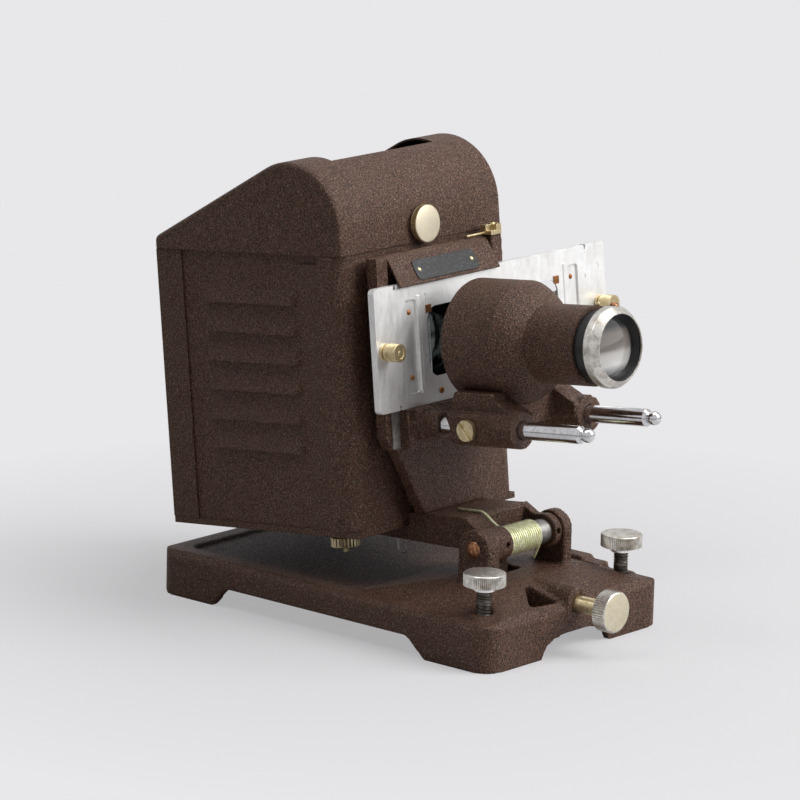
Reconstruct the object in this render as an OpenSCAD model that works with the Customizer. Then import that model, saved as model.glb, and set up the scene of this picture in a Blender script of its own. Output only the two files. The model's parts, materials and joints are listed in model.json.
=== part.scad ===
// Small slide projector: sheet metal lamp house on a tilting cast arm, with
// a sliding two-window slide carrier and a lens carriage on two guide rods.
// Millimetres. Z is up, the lens points along -Y, the louvred side seen first is -X.

/* [Base casting] */
// Width of the base across the feet
base_w = 156; // [150:0.5:160]
// Length of the base from front edge to back edge
base_l = 248; // [244:0.5:252]
// Height of the side walls of the base
base_h = 27; // [26:0.5:28]
// Thickness of the base walls and top
base_wall = 5; // [4:0.5:6]
// Height of the arches between the feet
arch_h = 11.5; // [9:0.5:14]
// Height of the top face around the hinge lugs
hump_h = 37; // [36:0.5:38]

/* [Tilt hinge] */
// Height of the hinge axis above the table
hinge_h = 55.8; // [55:0.1:57]
// Distance of the hinge axis behind the front edge of the base
hinge_back = 46; // [44:0.1:47]
// Upward tilt of the lens at rest
rest_tilt = 6.48; // [5:0.01:7]
// Radius of the base lugs round the hinge pin
lug_r = 11.2; // [10.5:0.1:11.6]
// Radius of the hinge pin
pin_r = 3.6; // [3:0.1:4]

/* [Lamp house] */
// Width of the lamp house
house_w = 141.2; // [138:0.1:144]
// Depth of the lamp house from front wall to back wall
house_d = 141.2; // [138:0.1:144]
// Height of the lamp house walls
house_h = 156; // [153:0.5:158]
// Thickness of the folded sheet metal
sheet = 1.1; // [1:0.05:1.2]
// Radius of the rounded front corners
corner_r = 10; // [8:0.5:12]
// Number of louvres on each side
louvre_n = 6; // [4:1:6]
// Distance between neighbouring louvres
louvre_pitch = 16.9; // [16:0.05:17.5]
// Length of a louvre
louvre_l = 69.6; // [60:0.1:72]
// Height of a louvre
louvre_h = 9; // [7:0.1:9.5]
// Distance a louvre stands out of the panel
louvre_out = 3; // [2.5:0.1:3.4]

/* [Hood] */
// Height of the hood crest above its lower edge
hood_rise = 53.6; // [51:0.1:56]
// Radius of the rounded front of the hood
hood_r = 37.5; // [36:0.5:39]
// Height of the straight back edge of the hood
hood_back_h = 6.7; // [6:0.1:8]
// Width of the outlet opening over the crest
vent_w = 88; // [80:1:94]

/* [Optics] */
// Height of the lens axis above the foot of the lamp house walls
axis_rise = 101.8; // [101:0.1:103.5]
// Radius of the large lens housing
drum_r = 34.5; // [34:0.1:35]
// Radius of the narrow lens tube
tube_r = 22.4; // [22:0.1:23]
// Radius of the nickel ring on the lens
ring_r = 22.9; // [22.5:0.05:23.2]
// Radius of the guide rods
rod_r = 5; // [4.5:0.1:5.4]
// Distance of each guide rod from the middle
rod_x = 29.6; // [29:0.1:30.2]

/* [Slide carrier] */
// Height of the slide carrier plate
carrier_h = 70.5; // [70:0.1:71]
// Distance between the two windows
window_pitch = 77; // [75:0.5:80]
// Width and height of a window
window = 40; // [36:0.5:41]
// Length of the plate beyond the middle of each window
carrier_end = 64.3; // [63:0.1:66]

/* [Thumbscrews] */
// Radius of the knurled heads on the base
knob_r = 11.9; // [11:0.1:12.5]
// Radius of the hood knob
hood_knob_r = 10.9; // [10:0.1:11.5]
// Distance of each levelling screw from the middle
level_x = 61.1; // [59:0.1:62]

/* [Hidden] */
$fn = 96;
eps = 0.02;
gap = 0.3;
run = 0.05;
snug = 0.02;

hinge_y = -113.5;
hinge_z = hinge_h;
base_front = hinge_y - hinge_back;
base_back = base_front + base_l;
base_x = base_w / 2;
base_corner = 12;
rim_w = 13;
deck_dip = 2;
edge_cut = 3.5;

lug_out = 37.6;
lug_left_in = 26.9;
lug_right_in = 30.1;
barrel_r = 9.8;
barrel_left_in = 13.2;
barrel_right_in = 24;
barrel_hole_left = -17.9;
barrel_hole_right = 27;
screw_z = 26.9;
screw_r = 4.8;
tail_front = 12;
tail_back = 18;

frame_t = 8;
frame_front = hinge_y + 43.3;
frame_back = frame_front + frame_t;
frame_x = 54.9;
house_front = frame_back + 5.2;
house_back = house_front + house_d;
house_x = house_w / 2;
house_z = hinge_z + 11.1;
house_top = house_z + house_h;
tray_drop = 3.7;
tray_z = house_z - tray_drop;
frame_top = house_top - 2.5;
axis_z = house_z + axis_rise;
arm_top = hinge_z + 15.5;
arm_back = house_front + 46;

carrier_front = frame_front - 4.6;
carrier_top = axis_z + 35.9;
carrier_bottom = carrier_top - carrier_h;
carrier_mid = window_pitch / 2;
carrier_left = -carrier_end;
carrier_right = window_pitch + carrier_end;
skin = 1;

rod_z = axis_z - 44.35;
boss_r = carrier_bottom - gap - rod_z;
boss_small_r = boss_r - 1.9;
boss_step = frame_front - 9.8;
boss_end = frame_front - 21;
rod_tip = frame_front - 127.8;
drum_back = frame_front - 26.1;
drum_front = frame_front - 60.6;
shoulder_front = frame_front - 75.6;
shoulder_steps = 8;
shoulder_swell = 1.2;
tube_front = frame_front - 109.4;
ring_back = frame_front - 118;
ring_front = frame_front - 126.6;
ring_band = ring_back - 4.1;
ring_seat = 19.3;
car_lug_r = 10.6;
car_lug_back = frame_front - 31.3;
car_lug_front = frame_front - 77.8;

panel_x = house_x - 2 * sheet;
louvre_y0 = house_front + 37;
louvre_top = house_top - 28.7;
lamp_y = house_front + 68.9;
lamp_nut_x = -22;
lamp_nut_y = house_front + 52.5;
flap_lean = atan2(7.8, frame_top - 3.2 - carrier_top + 1.4);
lock_y = car_lug_back - 14.1;
slot_floor = rod_x + 8.2;
slot_end = lock_y - 12;
slot_half = 6.3;
lock_z = rod_z - 0.4;
barrel_out = tube_r - 1.85;
glass_r = 16.5;
glass_ball = 60;
glass_t = 7.6;
glass_bulge = glass_ball - sqrt(glass_ball * glass_ball - glass_r * glass_r);
glass_rim = ring_front + 6;
arc_steps = 36;
hood_z = house_top + gap;
hood_front = house_front - 0.8;
hood_back = house_back + 0.3;
hood_top = hood_z + hood_rise;
hood_arc_y = hood_front + hood_r;
hood_arc_z = hood_top - hood_r;
hood_pivot_y = house_back + 3.3;
hood_pivot_z = hood_z + 0.3;
hood_knob_z = hood_z + 9.8;
hood_dy = hood_back - hood_arc_y;
hood_dz = hood_arc_z - hood_z - hood_back_h;
hood_slope = asin(hood_r / sqrt(hood_dy * hood_dy + hood_dz * hood_dz)) + atan2(hood_dz, hood_dy);
hood_knob_face = house_front - 5.6;

level_y = base_front + 17.9;
level_top = 53;
level_head = 7.8;
level_deck = base_h + 2.8;

spring_r = 8;
wire_r = 0.65;
spring_turns = 14 + 1 / 3;
spring_pitch = 1.76;
spring_start = -12.2;

origin_x = (carrier_right - base_x) / 2;
front_reach = (rod_tip - hinge_y) * cos(rest_tilt) + (rod_z - hinge_z) * sin(rest_tilt);
back_reach = (hood_pivot_y + 2.6 - hinge_y) * cos(rest_tilt) + (hood_pivot_z - hinge_z) * sin(rest_tilt);
origin_y = hinge_y + (front_reach + back_reach) / 2;

module place() {
  translate([-origin_x, -origin_y, 0]) children();
}

module head() {
  place() translate([0, hinge_y, hinge_z]) rotate([-rest_tilt, 0, 0])
    translate([0, -hinge_y, -hinge_z]) children();
}

module xcyl(r, x0, x1, y, z) {
  translate([x0, y, z]) rotate([0, 90, 0]) cylinder(r = r, h = x1 - x0);
}

module ycyl(r, y0, y1, x, z) {
  translate([x, y0, z]) rotate([-90, 0, 0]) cylinder(r = r, h = y1 - y0);
}

module zcyl(r, z0, z1, x, y) {
  translate([x, y, z0]) cylinder(r = r, h = z1 - z0);
}

module box(x0, x1, y0, y1, z0, z1) {
  translate([x0, y0, z0]) cube([x1 - x0, y1 - y0, z1 - z0]);
}

// Profile given as [y, z] points, drawn out along X
module along_x(x0, x1) {
  translate([x0, 0, 0]) rotate([90, 0, 90]) linear_extrude(height = x1 - x0) children();
}

// Profile given as [x, z] points, drawn out along Y
module along_y(y0, y1) {
  translate([0, y1, 0]) rotate([90, 0, 0]) linear_extrude(height = y1 - y0) children();
}

module rounded(x0, x1, y0, y1, r) {
  translate([x0 + r, y0]) square([x1 - x0 - 2 * r, y1 - y0]);
  translate([x0, y0 + r]) square([x1 - x0, y1 - y0 - 2 * r]);
  translate([x0 + r, y0 + r]) circle(r = r);
  translate([x1 - r, y0 + r]) circle(r = r);
  translate([x0 + r, y1 - r]) circle(r = r);
  translate([x1 - r, y1 - r]) circle(r = r);
}

module both_sides() {
  children();
  mirror([1, 0, 0]) children();
}

// Domed head with its flat side on z = 0
module dome(r, h) {
  ball = (r * r + h * h) / (2 * h);
  intersection() {
    translate([0, 0, h - ball]) sphere(r = ball);
    cylinder(r = r, h = h);
  }
}

module base_outline(inset) {
  rounded(-base_x + inset, base_x - inset, base_front + inset, base_back - inset, base_corner - inset);
}

module base_hump() {
  intersection() {
    along_x(-base_x, base_x) polygon([[hinge_y + 62, base_h - 4], [hinge_y + 58, base_h],
      [hinge_y + 18, hump_h], [hinge_y - 13, hump_h], [base_front + 3, base_h + 1.5],
      [base_front + 3, base_h - 4]]);
    along_y(base_front, base_back) polygon([[-base_x + 9, base_h - 4], [-base_x + 11, base_h],
      [-44, hump_h], [44, hump_h], [base_x - 11, base_h], [base_x - 9, base_h - 4]]);
  }
}

module base_casting() {
  color([0.27, 0.2, 0.17]) place() difference() {
    union() {
      difference() {
        linear_extrude(height = base_h) base_outline(0);
        both_sides() translate([base_x, 0, base_h]) rotate([0, 45, 0])
          cube([edge_cut, 2 * base_l, edge_cut * sqrt(2)], center = true);
        translate([0, base_front, base_h]) rotate([45, 0, 0])
          cube([base_w, edge_cut * sqrt(2), edge_cut], center = true);
        translate([0, base_back, base_h]) rotate([45, 0, 0])
          cube([base_w, edge_cut, edge_cut * sqrt(2)], center = true);
        translate([0, 0, -1]) linear_extrude(height = base_h - base_wall + 1) base_outline(base_wall);
      }
      base_hump();
      both_sides() zcyl(9.5, 8, level_deck, level_x, level_y);
      both_sides() box(level_x, base_x - base_wall / 2, level_y - 2, level_y + 2, 8, base_h - 2);
      ycyl(9.5, base_front - 0.7, hinge_y + 3, 0, screw_z);
      box(-9.5, 9.5, base_front + 1, hinge_y + 28, base_h - base_wall - 1, base_h);
      box(-36, -8, base_front + 2, hinge_y - 14, base_h - 11, base_h - 1);
      box(base_x - 11, base_x - 1, hinge_y + 4, hinge_y + 24, base_h - 2, base_h + 5);
      box(base_x - 12, base_x - 2, hinge_y - 8, hinge_y + 5, base_h - 2, base_h + 3);
      hinge_lug(-lug_out, -lug_left_in);
      hinge_lug(lug_right_in, lug_out);
    }
    both_sides() base_side_arch();
    base_front_arch();
    translate([0, base_front + base_back, 0]) mirror([0, 1, 0]) base_front_arch();
    both_sides() zcyl(4.3 + run, -1, level_top, level_x, level_y);
    ycyl(screw_r + run, base_front - 2, hinge_y + 5, 0, screw_z);
    box(-8, 8, hinge_y + 2, hinge_y + 27, -1, hinge_z);
    xcyl(pin_r + snug, -lug_out - 1, lug_out + 1, hinge_y, hinge_z);
    barrel_room();
    base_pocket();
    translate([0, 0, base_h - deck_dip]) linear_extrude(height = 5)
      rounded(-base_x + rim_w, base_x - rim_w, hinge_y + 66, base_back - rim_w, base_corner / 2);
  }
}

module hinge_lug(x0, x1) {
  xcyl(lug_r, x0, x1, hinge_y, hinge_z);
  box(x0, x1, hinge_y - lug_r, hinge_y + lug_r, base_h - 2, hinge_z);
}

// Room for the swinging arm between the lugs
module barrel_room() {
  free = barrel_r + 1.5;
  box(-lug_left_in, lug_right_in, hinge_y - free, hinge_y + 70, hinge_z - free, hinge_z + 30);
}

module base_side_arch() {
  translate([base_x - base_wall - 1, 0, 0]) along_x(0, base_wall + 2)
    polygon([[base_back - 42, -1], [base_back - 50.5, arch_h - 2.5], [base_back - 54, arch_h],
    [base_front + 60.5, arch_h], [base_front + 57, arch_h - 2.5], [base_front + 45.5, -1]]);
}

module base_front_arch() {
  along_y(base_front - 1, base_front + base_wall + 1)
    polygon([[-31, -1], [-26.5, 6.5], [-20, 9.6], [-8, 11.4],
      [8, 11.4], [20, 9.6], [26.5, 6.5], [31, -1]]);
}

// Hollow beside the boss of the tilt screw
module base_pocket() {
  translate([0, 0, base_h - 7]) linear_extrude(height = 30)
    polygon([[-13, hinge_y - 17.5], [-11, base_front + 5], [-33, base_front + 8]]);
}

module hinge_pin() {
  color([0.6, 0.38, 0.26]) place() {
    xcyl(pin_r, -lug_out, lug_out, hinge_y, hinge_z);
    translate([lug_out, hinge_y, hinge_z]) rotate([0, 90, 0]) dome(5, 2);
    translate([-lug_out, hinge_y, hinge_z]) rotate([0, -90, 0]) dome(5, 2);
  }
}

module level_screw() {
  zcyl(knob_r, level_top - level_head, level_top, level_x, level_y);
  zcyl(6.1, level_top - level_head - 3, level_top - level_head + eps, level_x, level_y);
  zcyl(4.3, 1.5, level_top - level_head - 3 + eps, level_x, level_y);
  translate([level_x, level_y, 1.5]) rotate([180, 0, 0]) cylinder(r1 = 4.3, r2 = 3.3, h = 1);
}

module level_screw_left() {
  color([0.75, 0.72, 0.68]) place() mirror([1, 0, 0]) level_screw();
}

module level_screw_right() {
  color([0.75, 0.72, 0.68]) place() level_screw();
}

// The nib touches the arm's tail, which leans by the rest tilt
module tilt_screw() {
  tail_at = hinge_y + tail_front / cos(rest_tilt) - (hinge_z - screw_z) * tan(rest_tilt);
  nib = tail_at - gap - 0.3;
  color([0.8, 0.76, 0.66]) place() {
    ycyl(knob_r, base_front - 27.8, base_front - 18.6, 0, screw_z);
    ycyl(screw_r, base_front - 18.6 - eps, nib - 3, 0, screw_z);
    ycyl(2, nib - 3 - eps, nib - 1, 0, screw_z);
    translate([0, nib - 1 - eps, screw_z]) rotate([-90, 0, 0]) dome(2, 1);
  }
}

module arm_profile(front) {
  polygon([[hinge_y + front, hinge_z + 9 + (front - 6) * 0.7], [hinge_y + 15, arm_top],
    [house_front - gap, arm_top], [house_front - gap, tray_z], [arm_back, tray_z],
    [arm_back, tray_z - 5], [house_front, hinge_z - 0.5], [hinge_y + 38, hinge_z - 1.8],
    [hinge_y + front, hinge_z - 3]]);
}

module arm_fork(x0, x1) {
  xcyl(barrel_r, x0, x1, hinge_y, hinge_z);
  along_x(x0, x1) polygon([[hinge_y, hinge_z + barrel_r - 0.2], [hinge_y + 6, hinge_z + 9.5],
    [hinge_y + 15, arm_top], [hinge_y + 16, hinge_z - 3], [hinge_y + 8, hinge_z - 6.5],
    [hinge_y, hinge_z - barrel_r + 0.2]]);
}

module tilt_arm() {
  color([0.27, 0.2, 0.17]) head() difference() {
    union() {
      along_x(-lug_left_in + gap, lug_left_in - gap) arm_profile(13);
      arm_fork(-lug_left_in + gap, -barrel_left_in);
      arm_fork(barrel_right_in, lug_right_in - gap);
      box(-6, 6, hinge_y + tail_front, hinge_y + tail_back, hinge_z - 34, hinge_z + 2);
      box(-6, 6, hinge_y + tail_front, hinge_y + tail_back + 14, hinge_z - 12, hinge_z);
    }
    xcyl(pin_r + run, -lug_out, lug_out, hinge_y, hinge_z);
    xcyl(11.2, -barrel_left_in, barrel_right_in, hinge_y, hinge_z);
    ycyl(1.6, hinge_y - barrel_r - 1, hinge_y, barrel_hole_left, hinge_z);
    ycyl(1.6, hinge_y - barrel_r - 1, hinge_y, barrel_hole_right, hinge_z);
  }
}

module frame_plate() {
  along_y(frame_front, frame_back) polygon([[-frame_x, frame_top], [frame_x, frame_top],
    [frame_x, rod_z - 5.5], [frame_x - 4.2, rod_z - 12.8], [46.5, rod_z - 14.2], [26.3, arm_top],
    [-26.3, arm_top], [-46.5, rod_z - 14.2], [-frame_x + 4.2, rod_z - 12.8], [-frame_x, rod_z - 5.5]]);
}

module front_frame() {
  color([0.27, 0.2, 0.17]) head() difference() {
    union() {
      frame_plate();
      both_sides() ycyl(boss_r, boss_step, frame_front + 1, rod_x, rod_z);
      both_sides() ycyl(boss_small_r, boss_end, boss_step + 1, rod_x, rod_z);
      both_sides() box(37, 43, frame_front - 6.2, frame_front + 1, rod_z - 13.5, carrier_bottom - gap);
      box(-43, 43, frame_front - 6.2, frame_front + 1, carrier_bottom - gap - 4, carrier_bottom - gap);
      both_sides() ycyl(5, frame_back - 1, house_front, 22, house_z + 14);
      both_sides() ycyl(5, frame_back - 1, house_front, 45, house_top - 14);
    }
    ycyl(29, frame_front - 1, frame_back + 1, 0, axis_z);
    box(-45.4, 45.4, frame_front - 1, frame_front + 4, carrier_top - 1.6, frame_top + 1);
    both_sides() ycyl(rod_r + snug, boss_end - 1, frame_back - 2, rod_x, rod_z);
  }
}

module guide_rod() {
  ycyl(rod_r, rod_tip + 9, frame_back - 2.2, rod_x, rod_z);
  translate([rod_x, rod_tip + 9 + eps, rod_z]) rotate([90, 0, 0])
    cylinder(r1 = rod_r, r2 = rod_r - 1.4, h = 1.6);
  ycyl(rod_r - 1.9, rod_tip + 3.6, rod_tip + 8, rod_x, rod_z);
  ball_r = rod_r - 1;
  translate([rod_x, rod_tip + ball_r, rod_z]) sphere(r = ball_r);
}

module guide_rod_left() {
  color([0.82, 0.82, 0.83]) head() mirror([1, 0, 0]) guide_rod();
}

module guide_rod_right() {
  color([0.82, 0.82, 0.83]) head() guide_rod();
}

// Outline of the house walls in plan, rounded at the front only
module house_plan(inset, r) {
  x = house_x - inset;
  y0 = house_front + inset;
  y1 = house_back - inset;
  translate([-x + r, y0]) square([2 * (x - r), y1 - y0]);
  translate([-x, y0 + r]) square([2 * x, y1 - y0 - r]);
  translate([-x + r, y0 + r]) circle(r = r);
  translate([x - r, y0 + r]) circle(r = r);
}

module house_front_sheet() {
  color([0.3, 0.22, 0.19]) head() difference() {
    union() {
      intersection() {
        translate([0, 0, house_z]) linear_extrude(height = house_h) difference() {
          house_plan(0, corner_r);
          house_plan(sheet, corner_r - sheet);
        }
        box(-house_x - 1, house_x + 1, house_front - 1, house_front + 17.6, 0, house_top + 1);
      }
      box(-9, 9, house_front + 1, house_front + 2.2 + sheet, house_top - 12, house_top - 4);
      box(-9, 9, house_front + 2.2, house_front + 2.2 + sheet, house_top - 12, hood_knob_z + 8);
    }
    ycyl(32.5, house_front - 1, house_front + 5, 0, axis_z);
    ycyl(2.8 + run, house_front - 1, house_front + 9, 0, hood_knob_z);
  }
}

module house_back_sheet() {
  color([0.3, 0.22, 0.19]) head() difference() {
    x = house_x - sheet;
    y0 = house_back - 19.4;
    box(-x, x, y0, house_back, house_z, house_top);
    box(-x + sheet, x - sheet, y0 - 1, house_back - sheet, house_z - 1, house_top + 1);
    ycyl(13.2, house_back - 5, house_back + 1, 0, house_z + 32);
  }
}

module corner_strip() {
  y0 = house_front + corner_r + 0.5;
  box(house_x - 2 * sheet, house_x - sheet, y0, house_front + 33.8, house_z, house_top - 5);
}

module corner_strip_left() {
  color([0.3, 0.22, 0.19]) head() mirror([1, 0, 0]) corner_strip();
}

module corner_strip_right() {
  color([0.3, 0.22, 0.19]) head() corner_strip();
}

module louvre_outer(z0) {
  x = panel_x;
  along_y(louvre_y0, louvre_y0 + louvre_l) polygon([[x - sheet, z0 + louvre_h], [x, z0 + louvre_h],
    [x + louvre_out, z0 + 1.2], [x + louvre_out, z0], [x - sheet, z0]]);
}

module louvre_inner(z0) {
  x = panel_x;
  along_y(louvre_y0 + 1.5, louvre_y0 + louvre_l - 1.5) polygon([[x - sheet - 1, z0 + louvre_h - 2.4],
    [x - 0.6, z0 + louvre_h - 2.4], [x + louvre_out - 1, z0 + 0.9], [x + louvre_out - 1, z0 - 0.6],
    [x - sheet - 1, z0 - 0.6]]);
}

module side_panel() {
  difference() {
    union() {
      box(panel_x - sheet, panel_x, house_front + corner_r + 0.5, house_back - sheet - gap,
        house_z, house_top);
      for (i = [0 : louvre_n - 1]) louvre_outer(louvre_top - i * louvre_pitch);
    }
    for (i = [0 : louvre_n - 1]) louvre_inner(louvre_top - i * louvre_pitch);
  }
}

module side_panel_left() {
  color([0.27, 0.2, 0.17]) head() mirror([1, 0, 0]) side_panel();
}

module side_panel_right() {
  color([0.27, 0.2, 0.17]) head() side_panel();
}

module bottom_tray() {
  color([0.25, 0.19, 0.16]) head() difference() {
    box(-house_x + 1.2, house_x - 1.2, house_front + 0.3, house_back - 0.3, tray_z, house_z);
    box(-house_x + 2.6, house_x - 2.6, house_front + 1.7, house_back - 1.7, tray_z + 1.2, house_z + 1);
    for (i = [-2 : 2], j = [0 : 2]) zcyl(4, tray_z - 1, house_z, i * 20, house_front + 74 + j * 22);
    zcyl(3.2, tray_z - 1, house_z, lamp_nut_x, lamp_nut_y);
  }
}

module side_rivet(x, y, z) {
  translate([x, y, z]) rotate([0, 90, 0]) dome(2.4, 1.2);
}

module house_rivets() {
  color([0.3, 0.22, 0.19]) head() both_sides() {
    side_rivet(house_x - sheet, house_back - 8.6, house_top - 4.1);
    side_rivet(house_x - sheet, house_back - 8, house_top - 29.1);
    side_rivet(house_x - sheet, house_back - 8.9, house_top - 84.1);
    side_rivet(house_x - sheet, house_back - 8.7, house_top - 140);
    side_rivet(panel_x, house_back - 83.4, house_top - 5.2);
    side_rivet(house_x, house_front + 14.3, house_z + 36.8);
    side_rivet(house_x, house_front + 12.9, house_z + 7.8);
  }
}

module condenser_barrel() {
  color([0.12, 0.12, 0.12]) head() difference() {
    union() {
      ycyl(31.5, frame_back, frame_back + 44, 0, axis_z);
      ycyl(36, frame_back, frame_back + 2, 0, axis_z);
    }
    ycyl(29.5, frame_back - 1, frame_back + 45, 0, axis_z);
  }
}

// Plano-convex lens, curved towards +Y
module plano_lens(r, ball, edge, y0) {
  cap = ball - sqrt(ball * ball - r * r);
  intersection() {
    ycyl(r, y0, y0 + edge + cap, 0, axis_z);
    translate([0, y0 + edge + cap - ball, axis_z]) sphere(r = ball);
  }
}

module condenser_lens_front() {
  color([0.8, 0.88, 0.9, 0.4]) head() mirror_y(frame_back + 8) plano_lens(29.2, 52, 2, frame_back + 4);
}

module condenser_lens_rear() {
  color([0.8, 0.88, 0.9, 0.4]) head() plano_lens(29.2, 52, 2, frame_back + 21);
}

// Turns its child end for end about the plane y
module mirror_y(y) {
  translate([0, y, 0]) mirror([0, 1, 0]) translate([0, -y, 0]) children();
}

module heat_glass() {
  color([0.75, 0.9, 0.85, 0.4]) head() ycyl(29.2, frame_back + 38, frame_back + 41, 0, axis_z);
}

module socket_bracket() {
  color([0.6, 0.6, 0.6]) head() difference() {
    union() {
      box(-30, 22, lamp_y - 24, lamp_y + 24, tray_z + 1.2, tray_z + 2.7);
      box(-20, 20, lamp_y + 16, lamp_y + 17.5, tray_z + 2.6, tray_z + 42);
      box(-20, 20, lamp_y - 16, lamp_y + 17.5, tray_z + 40.5, tray_z + 42);
      box(-8, 8, lamp_y + 17.4, lamp_y + 19, tray_z + 30, axis_z + 4);
      box(-8, 8, lamp_y + 17.4, lamp_y + 34, axis_z - 38, axis_z - 36.5);
      box(-8, 8, lamp_y + 32.5, lamp_y + 34, axis_z - 38, axis_z + 3);
    }
    box(-9, 9, lamp_y + 17.5, lamp_y + 20, axis_z - 36.5, axis_z + 5);
    zcyl(3.2, tray_z, tray_z + 4, lamp_nut_x, lamp_nut_y);
  }
}

module lamp_socket() {
  color([0.85, 0.83, 0.78]) head() difference() {
    zcyl(14, tray_z + 42, axis_z - 24, 0, lamp_y);
    zcyl(11, axis_z - 40, axis_z - 23, 0, lamp_y);
  }
}

module lamp_bulb() {
  color([0.9, 0.93, 0.95, 0.4]) head() {
    zcyl(10.7, axis_z - 39.7, axis_z - 22, 0, lamp_y);
    zcyl(14, axis_z - 22 - eps, axis_z + 16, 0, lamp_y);
    translate([0, lamp_y, axis_z + 16]) sphere(r = 14);
  }
}

module lamp_reflector() {
  color([0.85, 0.85, 0.87]) head() intersection() {
    difference() {
      translate([0, lamp_y, axis_z]) sphere(r = 32.2);
      translate([0, lamp_y, axis_z]) sphere(r = 31.2);
    }
    ycyl(23, lamp_y + 10, lamp_y + 40, 0, axis_z);
  }
}

module lamp_nut() {
  color([0.72, 0.6, 0.38]) head() {
    zcyl(8.5, tray_z - 16.2, tray_z - 10, lamp_nut_x, lamp_nut_y);
    zcyl(1.7, tray_z - 19.5, tray_z - 16.2 + eps, lamp_nut_x, lamp_nut_y);
    zcyl(3, tray_z - 10 - eps, tray_z + 5, lamp_nut_x, lamp_nut_y);
    zcyl(5, tray_z + 3, tray_z + 5.2, lamp_nut_x, lamp_nut_y);
    zcyl(5, tray_z - 10 - eps, tray_z - gap, lamp_nut_x, lamp_nut_y);
  }
}

module slide_flap() {
  color([0.3, 0.22, 0.19]) head() along_x(-43.6, 43.6) polygon([
    [frame_front + 4, frame_top - 0.8], [frame_front + 2.6, frame_top - 0.8],
    [frame_front + 0.6, frame_top - 3.2], [frame_front - 7.2, carrier_top - 1.4],
    [frame_front - 6.1, carrier_top - 2.1], [frame_front + 1.6, frame_top - 4.4],
    [frame_front + 4, frame_top - 7]]);
}

// Sits on the sloping face of the flap
module on_flap() {
  translate([0, frame_front + 0.6, frame_top - 3.2]) rotate([90 - flap_lean, 0, 0]) children();
}

module name_plate() {
  color([0.1, 0.1, 0.1]) head() on_flap() difference() {
    linear_extrude(height = 0.6) rounded(-26.7, 26.7, -14.1, -1.9, 3);
    both_sides() translate([22.8, -8, -1]) cylinder(r = 1.05, h = 3);
  }
}

module name_plate_rivets() {
  color([0.75, 0.6, 0.5]) head() on_flap() both_sides() translate([22.8, -8, 0]) {
    cylinder(r = 1, h = 0.62);
    translate([0, 0, 0.6]) dome(1.3, 0.6);
  }
}

module guide_strip() {
  color([0.75, 0.75, 0.75]) head() both_sides()
    box(45, 51, frame_front - 1.2, frame_front, rod_z - 12, carrier_bottom - gap);
}

module knuckle(x0, x1) {
  difference() {
    xcyl(2.6, x0, x1, hood_pivot_y, hood_pivot_z);
    xcyl(1.25 + run, x0 - 1, x1 + 1, hood_pivot_y, hood_pivot_z);
  }
}

module hood_hinge_leaf() {
  color([0.3, 0.22, 0.19]) head() {
    knuckle(-30, -12);
    knuckle(12, 30);
    difference() {
      box(-30, 30, house_back, house_back + 1.2, house_top - 18, house_top - 2);
      both_sides() ycyl(1.6, house_back - 1, house_back + 3, 20, house_top - 12);
    }
    both_sides() along_x(12, 30) polygon([[house_back, house_top - 2.1], [house_back, house_top - 1.2],
      [hood_pivot_y - 1.7, hood_pivot_z - 0.9], [hood_pivot_y + 0.5, hood_pivot_z - 1.8],
      [house_back + 1.2, house_top - 3.4], [house_back, house_top - 3.4]]);
  }
}

module hood_hinge_pin() {
  color([0.7, 0.7, 0.7]) head() xcyl(1.25, -30.5, 30.5, hood_pivot_y, hood_pivot_z);
}

module hood_hinge_tab() {
  color([0.3, 0.22, 0.19]) head() {
    knuckle(-11.7, 11.7);
    box(-11.7, 11.7, hood_back, hood_back + 1, hood_z + 0.6, hood_z + hood_back_h - 0.8);
  }
}

// Side view of the hood, as a flat shape: front wall, round front, sloping roof and back wall
module hood_side(inset) {
  r = hood_r - inset;
  back = hood_back - inset;
  turn = 180 - (90 - hood_slope);
  arc = [for (i = [0 : arc_steps]) let (a = 180 - turn * i / arc_steps)
    [hood_arc_y + r * cos(a), hood_arc_z + r * sin(a)]];
  roof = arc[arc_steps];
  polygon(concat([[hood_front + inset, hood_z - inset]], arc,
    [[back, roof[1] - (back - roof[0]) * tan(hood_slope)], [back, hood_z - inset]]));
}

module hood_shell() {
  color([0.3, 0.22, 0.19]) head() difference() {
    along_x(-house_x, house_x) hood_side(0);
    along_x(-house_x + sheet, house_x - sheet) hood_side(sheet);
    box(-vent_w / 2, vent_w / 2, hood_arc_y - 11.5, hood_arc_y + 34, hood_arc_z + 4, hood_top + 5);
    box(-3.1, 3.1, hood_front - 1, hood_front + 2, hood_z - 1, hood_knob_z);
    ycyl(3.1, hood_front - 1, hood_front + 2, 0, hood_knob_z);
  }
}

module hood_baffle() {
  color([0.1, 0.1, 0.1]) head() {
    box(-house_x + sheet, house_x - sheet, hood_arc_y - 14, hood_arc_y + 38, hood_z + 21, hood_z + 22);
  }
}

module hood_knob() {
  color([0.85, 0.8, 0.68]) head() {
    ycyl(hood_knob_r, hood_knob_face, hood_knob_face + 4, 0, hood_knob_z);
    ycyl(6.5, hood_knob_face + 4 - eps, hood_front - gap, 0, hood_knob_z);
    ycyl(2.8, hood_knob_face + 4 - eps, house_front + 7, 0, hood_knob_z);
  }
}

module catch() {
  z = frame_top + gap;
  color([0.72, 0.62, 0.45]) head() {
    difference() {
      box(44, 56, frame_front - 1.4, frame_front + 7, z, z + 5.6);
      box(43, 49, frame_front - 2, frame_front + 2.4, z + 2.4, z + 6);
      translate([56, frame_front - 1.4, 0]) rotate([0, 0, 45]) box(-2, 2, -2, 2, z - 1, z + 7);
    }
    xcyl(0.7, 29, 44.5, frame_front + 4.4, z + 1.1);
    zcyl(1.8, z + 5.6 - eps, z + 6.4, 51, frame_front + 3.6);
  }
}

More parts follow.
